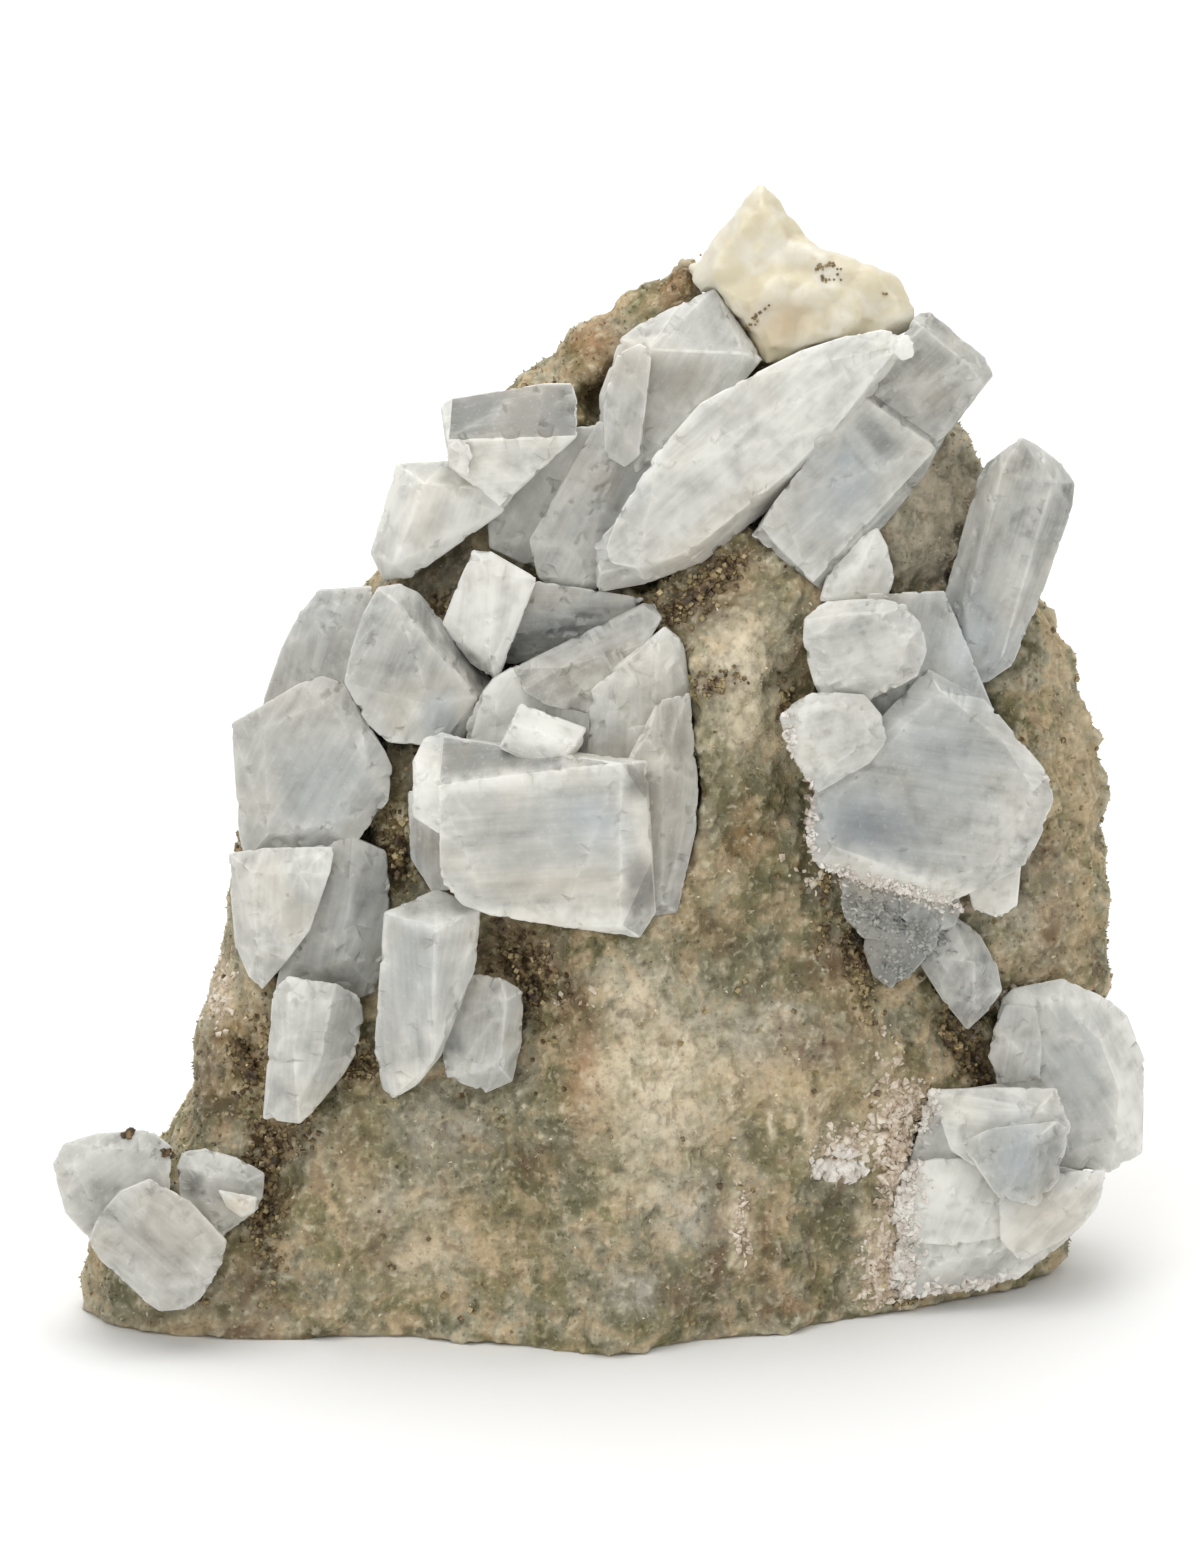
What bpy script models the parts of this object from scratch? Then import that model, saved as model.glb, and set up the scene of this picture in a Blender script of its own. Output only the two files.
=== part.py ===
"""Blue barite crystals with pyrite on a rock matrix: a hand specimen about 87 mm wide and 90 mm high.

The specimen stands on a flat cut base at z = 0, with its crystal side facing -Y. The crystals are
described as they are seen from the front: x to the right, h up from the lowest point of the outline,
both in millimetres in the plane of the specimen, and y for how deep they lie.
"""
import math
import random
from dataclasses import dataclass, field

import bmesh
import bpy
import numpy as np
from mathutils import Euler, Matrix, Vector, noise
from mathutils.bvhtree import BVHTree

MM = 0.001

# Front view of the specimen
EYE_TILT = math.radians(15.0)
EYE_DISTANCE = 700.0
AIM_HEIGHT = 41.5
FOOT_BELOW_AIM = 47.2

# How the hidden backs of the crystals vary: tilt, shift in mm, how fast both change with place, and
# how far apart the three values are read
BACK_TILT = 0.55
BACK_SHIFT = 1.3
BACK_CHANGE = 0.31
NOISE_APART = (0.0, 17.3, 41.9)

# How far a crystal's front face draws in for each mm that its rim is set back
RIM_INSET = 1.4

# Fit between the pieces, how far a sharp corner may move for it, and the crystals' lowest point
GAP = 0.3
CORNER_LIMIT = 2.5
CRYSTAL_FLOOR = 1.2
MERGE = 0.001
FLAT = math.radians(0.5)

# Rock matrix: (height, value) pairs from the base up
ROCK_TOP = 84.6
CROWN_RISE = 0.8
ROCK_RINGS = 27
ROCK_SEGMENTS = 46
LEFT_EDGE = [
    (0, -40.8), (6, -40.9), (10, -37.5), (13, -34.2), (16.2, -32.2), (24.5, -31.6), (27.4, -29.6),
    (34, -29.0), (43, -27.0), (49, -25.0), (54, -22.3), (58.5, -16.8), (62, -15.0), (69, -11.6),
    (73.2, -8.5), (73.9, -5.6), (75.1, -4.2), (76.9, -2.8), (78.8, -1.4), (80.1, 1.2), (81.8, 3.2),
    (83.5, 5.2), (ROCK_TOP, 8.0),
]
RIGHT_EDGE = [
    (0, 36.4), (4, 38.4), (12, 39.6), (20, 40.3), (24, 40.8), (27, 41.3), (29.5, 40.8), (35, 40.4),
    (41, 39.8), (44.8, 40.0), (47.7, 38.6), (51.4, 38.0), (54, 36.6), (55.6, 35.2), (59, 32.5),
    (64, 31.0), (67.4, 30.2), (70, 28.0), (73, 26.0), (78, 23.0), (81, 20.0), (ROCK_TOP, 16.0),
]
FRONT_DEPTH = [(0, -18.6), (20, -17.4), (40, -14.4), (60, -10.4), (75, -6.6), (ROCK_TOP, -3.6)]
BACK_DEPTH = [(0, 20.5), (15, 21.5), (40, 17.5), (60, 12.5), (75, 8.0), (ROCK_TOP, 4.0)]
LEFT_SIDE_DEPTH = [(0, -9.0), (20, -7.0), (45, -4.0), (75, -1.0), (ROCK_TOP, 0.0)]
RIGHT_SIDE_DEPTH = [(0, -1.0), (25, 0.0), (55, 1.0), (ROCK_TOP, 0.0)]
CREST_LINE = [(0, 0.0), (40, 4.0), (60, 10.0), (ROCK_TOP, 12.0)]
LEFT_SQUARENESS = [(0, 3.6), (12, 3.0), (22, 2.2), (ROCK_TOP, 2.0)]
RIGHT_SQUARENESS = 1.5
BACK_SQUARENESS = 2.3

# Lumps and hollows on the rock's front: points (x, z) along a line, rise and half width
ROCK_RELIEF = [
    ([(-1.0, -4), (1.5, 14), (0.0, 26), (4.0, 40), (10, 56), (14, 66)], 4.2, 6.5),
    ([(16.5, 52), (18.5, 38), (21, 31), (27, 22), (31.5, 15)], -2.4, 2.6),
    ([(-16, 0), (-12.5, 8)], -1.6, 5.0),
    ([(-6.5, 33), (-5.0, 25)], -1.8, 2.8),
    ([(-12.5, 63), (-10, 58)], -1.6, 3.0),
    ([(9, 61), (14, 64)], -1.5, 2.4),
    ([(12, 2), (14, 12), (17, 24)], 1.6, 3.4),
    ([(19.5, 4), (21, 14)], -1.2, 2.0),
    ([(-24, 24), (-27, 14), (-25, 3)], -1.4, 2.4),
    ([(-33, 3), (-36, 8)], 1.2, 4.0),
    ([(35, 30), (37, 46)], 1.3, 3.5),
    ([(33.5, 36), (34.5, 27)], -1.2, 2.0),
]

# Broad fracture faces on the back: a point on the face in mm and its outward direction, and how
# much of what stands out of them they take away
FLATTENING = 0.92
FRACTURE_FACES = [
    ((0, 17.5, 20), (0.05, 1.0, 0.10)),
    ((-24, 11.0, 20), (-0.62, 0.78, 0.12)),
    ((27, 13.0, 30), (0.55, 0.82, 0.16)),
    ((6, 11.5, 55), (-0.10, 0.88, 0.42)),
    ((30, 6.0, 62), (0.74, 0.52, 0.42)),
    ((-14, 6.0, 58), (-0.66, 0.62, 0.42)),
]

# Grain of the rock: wavelength of each layer of roughness, and its height in front and at the back,
# with the share of it that is left at the two sides and how much of it points sideways there
SIDE_GRAIN = 0.25
SIDEWAYS = 0.35
FACING_POWER = 0.8
ROCK_GRAIN = [(17.0, 1.2, 2.6), (7.5, 0.8, 1.5), (3.6, 0.40, 0.6)]


@dataclass
class Finish:
    """Colour, roughness and metallic value of a material."""

    colour: tuple
    roughness: float
    metallic: float = 0.0


ROCK_FINISH = Finish((0.36, 0.31, 0.22), 0.85)
BARITE_FINISH = Finish((0.62, 0.67, 0.72), 0.18)
CALCITE_FINISH = Finish((0.82, 0.78, 0.66), 0.55)
PYRITE_FINISH = Finish((0.50, 0.40, 0.18), 0.35, 1.0)


@dataclass
class Crystal:
    """One flat-faced crystal: outline points (x, h) or (x, h, set back), and how it lies in depth."""

    outline: list
    front: float
    thick: float
    lean: tuple = (0.0, 0.0)
    rim: float = 0.0
    back_share: float = 0.76


@dataclass
class Cluster:
    """Crystals grown together, which make one solid."""

    name: str
    crystals: list = field(default_factory=list)


CREST_CLUSTER = Cluster("barite_crest", [
    Crystal([(4.4, 72.8), (7.2, 76.0), (10.8, 79.6), (13.0, 80.5), (19.8, 82.5), (22.4, 82.8),
             (25.0, 81.4), (21.4, 78.4), (18.0, 72.6), (14.4, 69.2), (9.6, 66.0), (6.4, 63.0),
             (3.6, 61.6), (3.2, 66.8)], -13.6, 9.5, (0.20, 0.0), 0.5),
    Crystal([(-0.3, 66.4), (1.6, 66.8), (4.0, 69.2), (7.2, 69.2), (7.2, 64.2), (3.6, 61.6),
             (-0.4, 62.0)], -14.6, 7.5, (0.20, 0.05)),
    Crystal([(12.1, 66.4), (12.4, 68.4), (18.6, 77.6), (22.4, 78.2), (27.6, 74.6),
             (26.0, 71.6), (22.0, 66.4), (17.2, 61.8)], -11.4, 8.5, (0.25, 0.08)),
    Crystal([(21.4, 76.4), (25.2, 81.6), (25.4, 83.2), (26.2, 84.2), (29.2, 82.0), (31.4, 79.4),
             (29.6, 77.4), (26.8, 73.4)], -8.8, 7.5, (0.12, 0.10)),
    Crystal([(-3.4, 77.0), (1.0, 81.2), (3.2, 83.6), (7.2, 85.2), (9.0, 86.2), (11.6, 82.8),
             (13.0, 80.5), (7.2, 76.0), (4.4, 72.8), (0.0, 73.8)], -9.6, 9.0, (0.05, 0.22)),
    Crystal([(0.0, 75.6), (6.0, 71.6), (2.0, 65.0), (1.0, 62.6), (-2.2, 61.2), (-5.1, 63.3),
             (-5.6, 66.0)], -12.4, 9.0, (0.12, 0.10)),
    Crystal([(-5.0, 74.6), (0.0, 75.2), (-3.0, 67.6), (-4.0, 63.3), (-8.8, 65.6), (-8.8, 67.4),
             (-6.8, 70.0)], -10.6, 9.0, (-0.10, 0.05)),
    Crystal([(-12.8, 77.0, 4.2), (-8.0, 77.8, 4.2), (-4.4, 78.6, 4.2), (-2.3, 78.6, 4.2),
             (-2.0, 74.4), (-5.2, 74.0), (-12.1, 74.1), (-11.8, 71.4), (-11.0, 67.2),
             (-8.3, 68.0), (-6.8, 70.0)], -13.2, 11.5),
    Crystal([(-16.0, 72.2, 2.6), (-10.2, 72.6, 2.6), (-10.4, 68.6), (-12.8, 66.4),
             (-14.0, 64.8), (-15.1, 63.0), (-17.4, 62.6, 1.0), (-18.2, 65.2, 1.6),
             (-16.8, 68.4, 1.6), (-15.4, 70.4)], -11.2, 9.0),
])

CENTRE_CLUSTER = Cluster("barite_centre", [
    Crystal([(-13.0, 45.2), (-10.4, 46.8), (-4.0, 47.6), (1.6, 48.1), (3.8, 45.6, 2.2),
             (4.0, 40.8, 2.6), (3.2, 34.8, 1.6), (-3.2, 35.0), (-8.0, 35.6), (-12.7, 38.8)],
            -22.6, 11.0, (0.0, 0.06), 0.4),
    Crystal([(-14.4, 49.6), (-13.4, 50.6), (-10.4, 49.9), (-6.4, 48.8), (-6.4, 45.6),
             (-11.0, 42.6), (-14.7, 44.0), (-15.0, 46.8)], -20.0, 9.0, (-0.10, 0.20), 0.5),
    Crystal([(1.0, 48.4), (3.2, 52.0), (7.2, 54.0), (7.0, 50.0), (8.0, 46.0), (7.6, 44.4),
             (6.0, 36.8), (3.2, 35.8), (0.6, 40.0)], -19.4, 7.0, (0.30, 0.0)),
    Crystal([(-6.8, 56.0), (-3.2, 57.6), (0.0, 59.2), (3.4, 60.8), (4.8, 60.6), (4.4, 57.4),
             (1.6, 54.6), (-1.6, 52.6), (-4.4, 52.0), (-6.0, 53.4)], -16.8, 8.0, (0.05, 0.35)),
    Crystal([(-1.6, 54.0), (1.6, 56.0), (4.4, 58.4), (5.2, 59.2), (6.6, 58.0), (7.2, 54.0),
             (7.0, 50.0), (4.0, 46.6), (-1.1, 46.6)], -18.0, 9.0, (0.15, 0.12)),
    Crystal([(-6.3, 52.9), (-1.1, 51.0), (-1.4, 50.0), (-2.6, 48.0), (-8.0, 49.4), (-7.6, 50.4)],
            -21.0, 8.0, (0.05, 0.15)),
    Crystal([(-10.2, 65.3), (-8.8, 64.6), (-5.1, 63.2), (-7.7, 61.1), (-7.9, 54.9), (-12.6, 59.3),
             (-11.6, 61.6)], -14.6, 8.0, (-0.10, 0.12)),
    Crystal([(-9.0, 61.0), (-5.0, 63.0), (-2.2, 61.2), (3.6, 61.0), (1.0, 58.2), (-2.0, 56.6),
             (-6.8, 55.0), (-9.0, 57.4)], -13.4, 7.0, (0.0, -0.20)),
    Crystal([(-8.6, 54.6), (-6.6, 56.2), (0.0, 54.0), (0.0, 46.0), (-8.0, 45.4), (-10.4, 48.6)],
            -17.0, 8.0, (-0.05, 0.10)),
    Crystal([(-15.4, 46.0), (-11.0, 46.0), (-11.0, 38.2), (-13.4, 37.8), (-15.2, 40.6)],
            -18.8, 8.0, (-0.55, 0.0)),
])

LEFT_CLUSTER = Cluster("barite_left", [
    Crystal([(-27.2, 51.4), (-25.8, 56.4), (-24.0, 59.4), (-22.4, 61.9), (-18.4, 62.3),
             (-18.4, 57.2), (-19.4, 50.6)], -12.8, 9.5, (-0.35, 0.12)),
    Crystal([(-20.4, 57.2), (-20.0, 61.2), (-19.2, 62.3, 0.8), (-15.4, 62.8, 1.2),
             (-12.6, 59.2), (-10.4, 56.6), (-8.8, 55.2, 2.6), (-9.8, 53.0, 2.0), (-10.8, 50.0),
             (-16.4, 49.0), (-19.4, 51.6)], -15.8, 10.0, (0.10, 0.14)),
    Crystal([(-29.5, 51.4), (-24.0, 54.0), (-21.2, 55.0), (-19.0, 54.6), (-17.6, 51.6),
             (-16.6, 48.0), (-17.2, 45.6), (-18.4, 40.4), (-27.8, 39.2), (-28.6, 41.4),
             (-28.2, 46.0)], -15.0, 9.5, (-0.20, 0.12), 0.5),
    Crystal([(-29.8, 40.5), (-24.6, 41.6), (-20.1, 42.3), (-17.1, 42.6), (-17.0, 37.5),
             (-17.6, 32.6), (-21.6, 28.4), (-25.6, 28.8), (-27.8, 30.4), (-29.3, 33.3),
             (-29.4, 38.5)], -17.2, 9.5, (-0.25, 0.0), 0.5),
    Crystal([(-25.2, 30.7), (-20.0, 32.0), (-19.0, 29.0, 1.0), (-19.4, 25.4, 1.4), (-22.2, 22.5),
             (-23.2, 19.2), (-27.0, 20.0, 0.8), (-25.9, 27.0)], -20.0, 7.5, (0.0, 0.06)),
])

LOWER_LEFT_CLUSTER = Cluster("barite_lower_left", [
    Crystal([(-17.3, 36.2, 2.0), (-12.9, 38.2, 5.2), (-9.6, 36.4, 2.5), (-14.0, 34.6),
             (-14.0, 23.0), (-16.6, 21.2, 1.0), (-17.3, 22.1, 2.0), (-18.0, 25.2, 2.0),
             (-12.7, 24.3, 1.0), (-10.0, 31.8, 2.5)], -24.0, 10.5),
    Crystal([(-10.9, 31.1), (-7.8, 31.0), (-6.1, 29.8), (-7.0, 22.9), (-9.2, 21.9),
             (-13.2, 23.6), (-13.2, 27.6)], -20.8, 7.0, (0.0, 0.08)),
])

RIGHT_CLUSTER = Cluster("barite_right", [
    Crystal([(17.8, 59.4), (18.4, 62.8), (21.6, 66.6), (22.4, 66.4), (23.4, 64.0), (23.4, 62.8),
             (22.8, 59.4)], -12.4, 7.0, (0.10, 0.10)),
    Crystal([(33.8, 74.3), (36.6, 72.4), (38.0, 70.6, 1.2), (37.8, 68.5, 1.2), (35.1, 60.7, 1.0),
             (33.5, 55.7, 1.0), (29.8, 52.8), (27.8, 57.0, 1.6), (27.6, 62.0, 2.2),
             (30.1, 71.9, 2.2), (32.0, 73.2)], -10.4, 9.5, (0.10, 0.10)),
    Crystal([(18.1, 61.1), (23.1, 61.1), (25.5, 59.7), (25.9, 57.3), (25.0, 54.9), (23.1, 53.4),
             (18.1, 52.4), (16.8, 54.9), (16.2, 58.6), (17.3, 60.2)], -16.4, 8.0, (0.10, 0.08), 0.8),
    Crystal([(15.0, 53.0), (16.8, 54.0), (21.0, 53.8), (22.1, 52.0), (22.9, 49.8), (18.1, 46.4),
             (17.0, 46.2), (14.6, 50.4)], -18.0, 8.0, (0.10, 0.08), 0.7),
    Crystal([(25.8, 56.0), (30.1, 52.6), (33.5, 50.2), (35.8, 47.5), (36.2, 45.4), (34.6, 40.1),
             (28.7, 37.1), (17.6, 39.9), (17.4, 42.2), (18.1, 47.4), (22.4, 51.0)], -15.6, 10.5,
            (0.18, 0.14), 0.6),
    Crystal([(29.0, 39.8), (33.8, 41.2), (33.0, 36.6), (31.6, 36.0), (30.0, 36.6)], -11.6, 7.5),
    Crystal([(21.4, 61.8), (27.6, 62.0), (30.8, 53.6), (32.0, 51.2), (28.8, 48.4), (23.0, 50.4),
             (22.4, 56.0)], -11.4, 8.5, (0.10, 0.10)),
    Crystal([(26.4, 35.6), (28.5, 35.9), (30.0, 34.0), (32.0, 30.1), (31.8, 28.6), (29.3, 26.6),
             (27.2, 29.2), (25.4, 32.4)], -12.6, 7.0, (0.05, 0.05)),
    Crystal([(19.2, 41.2), (27.2, 41.0), (28.8, 36.8), (28.4, 35.6), (25.6, 32.4), (23.2, 30.4),
             (21.2, 32.0), (19.6, 34.8)], -13.4, 6.5, (0.10, -0.10)),
])

FOOT_LEFT_CLUSTER = Cluster("barite_foot_left", [
    Crystal([(-43.8, 16.2), (-42.8, 18.0), (-40.2, 18.6), (-35.8, 18.7), (-34.2, 17.4),
             (-34.6, 14.0), (-38.4, 10.0), (-40.6, 9.8), (-42.8, 12.0)], -19.8, 8.5,
            (-0.10, 0.15), 0.9),
    Crystal([(-40.0, 14.4), (-36.0, 15.0), (-32.8, 13.2), (-29.8, 10.0), (-30.6, 7.4),
             (-32.9, 4.6), (-35.8, 4.5), (-38.4, 7.0), (-40.6, 9.2)], -22.4, 8.5,
            (0.0, 0.12), 0.8),
    Crystal([(-33.8, 16.0), (-33.3, 17.2), (-31.6, 17.3), (-28.7, 16.5), (-26.9, 15.8),
             (-27.0, 12.8), (-28.2, 11.8), (-31.0, 9.8), (-33.4, 11.6)], -19.6, 6.5,
            (0.05, 0.10), 0.5),
])

FOOT_RIGHT_CLUSTER = Cluster("barite_foot_right", [
    Crystal([(32.0, 30.1), (35.0, 30.6), (37.8, 30.3), (40.9, 28.9), (42.1, 28.2), (43.4, 24.4),
             (43.3, 19.6), (43.0, 17.2), (40.7, 15.5), (36.8, 16.0), (32.8, 21.6), (31.3, 25.1)],
            -8.6, 11.0, (0.22, 0.08), 1.0),
    Crystal([(28.8, 18.8), (30.8, 19.0), (36.4, 19.6), (37.4, 19.2), (36.4, 16.4), (36.0, 13.2),
             (32.8, 10.8), (30.8, 14.0), (29.8, 16.4)], -13.2, 7.0, (0.18, 0.05)),
    Crystal([(26.6, 22.0), (32.0, 22.6), (36.8, 21.2), (37.4, 19.2), (30.8, 13.6), (28.0, 9.2),
             (24.4, 5.6), (24.0, 9.2), (24.0, 14.8), (27.2, 18.0)], -12.2, 9.0, (0.18, 0.05), 0.5),
    Crystal([(32.0, 13.2), (36.8, 16.0), (40.4, 15.0), (39.8, 12.8), (36.8, 9.6), (33.6, 7.0),
             (29.6, 6.3), (24.4, 5.6), (25.0, 10.0)], -10.8, 9.0, (0.25, 0.05), 0.6),
])

CALCITE_CREST = Cluster("calcite_crest", [
    Crystal([(7.2, 86.6), (8.0, 89.2), (10.4, 92.0), (12.0, 93.6), (13.0, 94.6), (15.2, 91.2),
             (17.2, 89.6), (18.4, 86.0), (15.0, 80.4), (10.0, 82.6)], -6.6, 11.0, (0.0, 0.18), 1.8,
            0.70),
    Crystal([(15.8, 90.2), (20.0, 88.0), (21.6, 88.3), (23.2, 87.6), (25.2, 85.2), (25.4, 83.2),
             (22.0, 80.4), (16.0, 80.4)], -7.4, 11.0, (0.08, 0.15), 1.6, 0.70),
    Crystal([(9.6, 86.0), (14.0, 88.4), (21.0, 87.0), (23.0, 83.6), (18.0, 79.8), (12.6, 80.0)],
            -8.8, 9.0, (0.05, 0.22), 1.6, 0.70),
    Crystal([(6.9, 88.0), (10.0, 89.6), (12.4, 87.0), (9.0, 83.8)], -4.0, 7.0, (0.0, 0.1), 1.0,
            0.70),
])

CRYSTAL_CLUSTERS = [
    CREST_CLUSTER, CENTRE_CLUSTER, LEFT_CLUSTER, LOWER_LEFT_CLUSTER, RIGHT_CLUSTER,
    FOOT_LEFT_CLUSTER, FOOT_RIGHT_CLUSTER,
]

# Pyrite: name, line (x, h) along which the grains sit, and their edge in mm
PYRITE_SEAMS = [
    ("pyrite_crevice", [(6.6, 61.0), (8.6, 62.4), (10.6, 64.4)], 1.3),
    ("pyrite_pocket", [(-16.2, 42.4), (-16.0, 39.6)], 1.2),
    ("pyrite_hollow", [(-7.0, 33.0), (-5.4, 29.6)], 1.3),
    ("pyrite_left_seam", [(-26.0, 18.0), (-26.8, 13.4), (-27.4, 11.8)], 1.4),
    ("pyrite_left_edge", [(-29.2, 25.4), (-27.6, 22.8)], 1.3),
    ("pyrite_right_seam", [(19.9, 33.6), (21.4, 30.8)], 1.2),
    ("pyrite_foot_seam", [(27.6, 26.6), (30.6, 22.8)], 1.4),
]
PYRITE_STEP = 0.78
PYRITE_SIZES = (0.75, 1.2)
PYRITE_SEED = 7

# Depths in front of and behind the whole specimen, between which the front view's rays run
NEAR_DEPTH = -60.0
FAR_DEPTH = 20.0


def clear_scene():
    """Removes what the scene holds, so that it starts empty."""
    for thing in list(bpy.data.objects):
        bpy.data.objects.remove(thing)


def seen(x, h, y):
    """The point at depth y that the front view shows x to the right and h above the foot."""
    up = Vector((0.0, math.sin(EYE_TILT), math.cos(EYE_TILT)))
    ahead = Vector((0.0, math.cos(EYE_TILT), -math.sin(EYE_TILT)))
    aim = Vector((0.0, 0.0, AIM_HEIGHT))
    eye = aim - ahead * EYE_DISTANCE
    ray = aim + Vector((x, 0.0, 0.0)) + up * (h - FOOT_BELOW_AIM) - eye
    return eye + ray * ((y - eye.y) / ray.y)


def profile(pairs, height):
    """Reads a value at a height from (height, value) pairs."""
    heights, values = zip(*pairs)
    return float(np.interp(height, heights, values))


def hull(points):
    """The convex solid around the points, as a bmesh."""
    bm = bmesh.new()
    for point in points:
        bm.verts.new(point)
    bmesh.ops.convex_hull(bm, input=bm.verts)
    drop_loose(bm)
    bm = ordered(bm)
    bmesh.ops.dissolve_limit(bm, angle_limit=FLAT, verts=bm.verts, edges=bm.edges)
    bmesh.ops.recalc_face_normals(bm, faces=bm.faces)
    return bm


def crystal_points(crystal):
    """Corner points of a crystal: its rim, its front face and its smaller back."""
    middle_x = sum(point[0] for point in crystal.outline) / len(crystal.outline)
    middle_h = sum(point[1] for point in crystal.outline) / len(crystal.outline)
    reach = max(math.hypot(point[0] - middle_x, point[1] - middle_h) for point in crystal.outline)
    place = Vector((middle_x, middle_h, crystal.thick)) * BACK_CHANGE
    change = Vector([noise.noise(place + Vector((0.0, 0.0, apart))) for apart in NOISE_APART])
    layers = [(1.0, crystal.rim, 0.0), (crystal.back_share, crystal.thick, 1.0)]
    if crystal.rim:
        layers.append((1.0 - RIM_INSET * crystal.rim / reach, 0.0, 0.0))
    points = []
    for share, depth, is_back in layers:
        for point in crystal.outline:
            right = (point[0] - middle_x) * share + change.x * BACK_SHIFT * is_back
            rise = (point[1] - middle_h) * share + change.y * BACK_SHIFT * is_back
            set_back = point[2] * (1.0 - is_back) if len(point) == 3 else 0.0
            tilt_x = crystal.lean[0] + change.z * BACK_TILT * is_back
            tilt_h = crystal.lean[1] + change.x * BACK_TILT * is_back
            y = crystal.front + tilt_x * right + tilt_h * rise + depth + set_back
            corner = seen(middle_x + right, middle_h + rise, y)
            corner.z = max(corner.z, CRYSTAL_FLOOR)
            points.append(corner)
    return points


def widened(bm):
    """A copy of a convex solid whose faces lie one gap further out."""
    wide = bm.copy()
    wide.normal_update()
    moves = [(vert, vert.normal * GAP * min(vert.calc_shell_factor(), CORNER_LIMIT))
             for vert in wide.verts]
    for vert, move in moves:
        vert.co += move
    return wide


def make_object(bm, name, guide=False):
    """Links a solid given in mm into the scene, in metres."""
    mesh = bpy.data.meshes.new(name)
    scaled = bm.copy()
    bmesh.ops.scale(scaled, vec=(MM, MM, MM), verts=scaled.verts)
    scaled.to_mesh(mesh)
    scaled.free()
    thing = bpy.data.objects.new(name, mesh)
    bpy.context.scene.collection.objects.link(thing)
    if guide:
        thing.hide_render = True
        thing.display_type = "WIRE"
    return thing


def boolean(base, others, operation):
    """The mesh of base joined with, or cut by, the solids in others, as a bmesh in mm."""
    group = bpy.data.collections.new("operands")
    body = make_object(base, "body", guide=True)
    operands = [make_object(other, "operand", guide=True) for other in others]
    for operand in operands:
        group.objects.link(operand)
    modifier = body.modifiers.new("boolean", "BOOLEAN")
    modifier.operation = operation
    modifier.solver = "EXACT"
    modifier.operand_type = "COLLECTION"
    modifier.collection = group
    evaluated = body.evaluated_get(bpy.context.evaluated_depsgraph_get())
    bm = bmesh.new()
    bm.from_mesh(evaluated.to_mesh())
    evaluated.to_mesh_clear()
    bmesh.ops.scale(bm, vec=(1 / MM, 1 / MM, 1 / MM), verts=bm.verts)
    for thing in [body] + operands:
        bpy.data.meshes.remove(thing.data)
    bpy.data.collections.remove(group)
    return tidied(bm)


def ordered(bm):
    """The same solid with its points and faces in one fixed order, so that every run is alike."""
    verts = sorted(bm.verts, key=lambda vert: tuple(vert.co))
    numbers = {vert: number for number, vert in enumerate(verts)}
    rows = []
    for face in bm.faces:
        corners = [numbers[vert] for vert in face.verts]
        first = corners.index(min(corners))
        rows.append(corners[first:] + corners[:first])
    fresh = bmesh.new()
    made = [fresh.verts.new(vert.co) for vert in verts]
    for corners in sorted(rows):
        fresh.faces.new([made[number] for number in corners])
    bm.free()
    return fresh


def tidied(bm):
    """Merges near points, flattens coplanar triangles and keeps the largest body."""
    bm = ordered(bm)
    bmesh.ops.remove_doubles(bm, verts=bm.verts, dist=MERGE)
    bmesh.ops.dissolve_degenerate(bm, dist=MERGE, edges=bm.edges)
    bmesh.ops.dissolve_limit(bm, angle_limit=FLAT, verts=bm.verts, edges=bm.edges)
    bmesh.ops.triangulate(bm, faces=bm.faces)
    bodies = []
    for face in bm.faces:
        face.tag = False
    for first in bm.faces:
        if not first.tag:
            bodies.append(connected_faces(first))
    bodies.sort(key=lambda faces: sum(face.calc_area() for face in faces))
    spare = [face for body in bodies[:-1] for face in body]
    bmesh.ops.delete(bm, geom=spare, context="FACES")
    drop_loose(bm)
    return bm


def connected_faces(first):
    """Tags and returns the faces of the body that a face belongs to."""
    first.tag = True
    body = [first]
    for face in body:
        for other in (other for edge in face.edges for other in edge.link_faces):
            if not other.tag:
                other.tag = True
                body.append(other)
    return body


def drop_loose(bm):
    """Deletes the points that no face uses."""
    loose = [vert for vert in bm.verts if not vert.link_faces]
    bmesh.ops.delete(bm, geom=loose, context="VERTS")


def box_of(bm):
    """Lowest and highest corner of a solid."""
    corners = np.array([vert.co for vert in bm.verts])
    return corners.min(axis=0), corners.max(axis=0)


def near(bm, other):
    """Tells whether the boxes of two solids meet."""
    low, high = box_of(bm)
    other_low, other_high = box_of(other)
    return bool(np.all(low < other_high) and np.all(other_low < high))


def cut_clear(bm, neighbours):
    """Cuts a solid one gap clear of the neighbours that it meets."""
    cutters = [wide for wide in neighbours if near(bm, wide)]
    return boolean(bm, cutters, "DIFFERENCE") if cutters else bm


def relief(x, z):
    """How far the rock's front stands out at a place, from its lumps and hollows."""
    rise_there = 0.0
    here = Vector((x, z))
    for line, rise, half_width in ROCK_RELIEF:
        distance = min(distance_to_run(here, Vector(start), Vector(end))
                       for start, end in zip(line, line[1:]))
        rise_there += rise * math.exp(-(distance / half_width) ** 2)
    return rise_there


def distance_to_run(point, start, end):
    """Distance in the plane from a point to the run between two points."""
    run = end - start
    share = max(0.0, min(1.0, (point - start).dot(run) / run.length_squared))
    return (point - start - run * share).length


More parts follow.
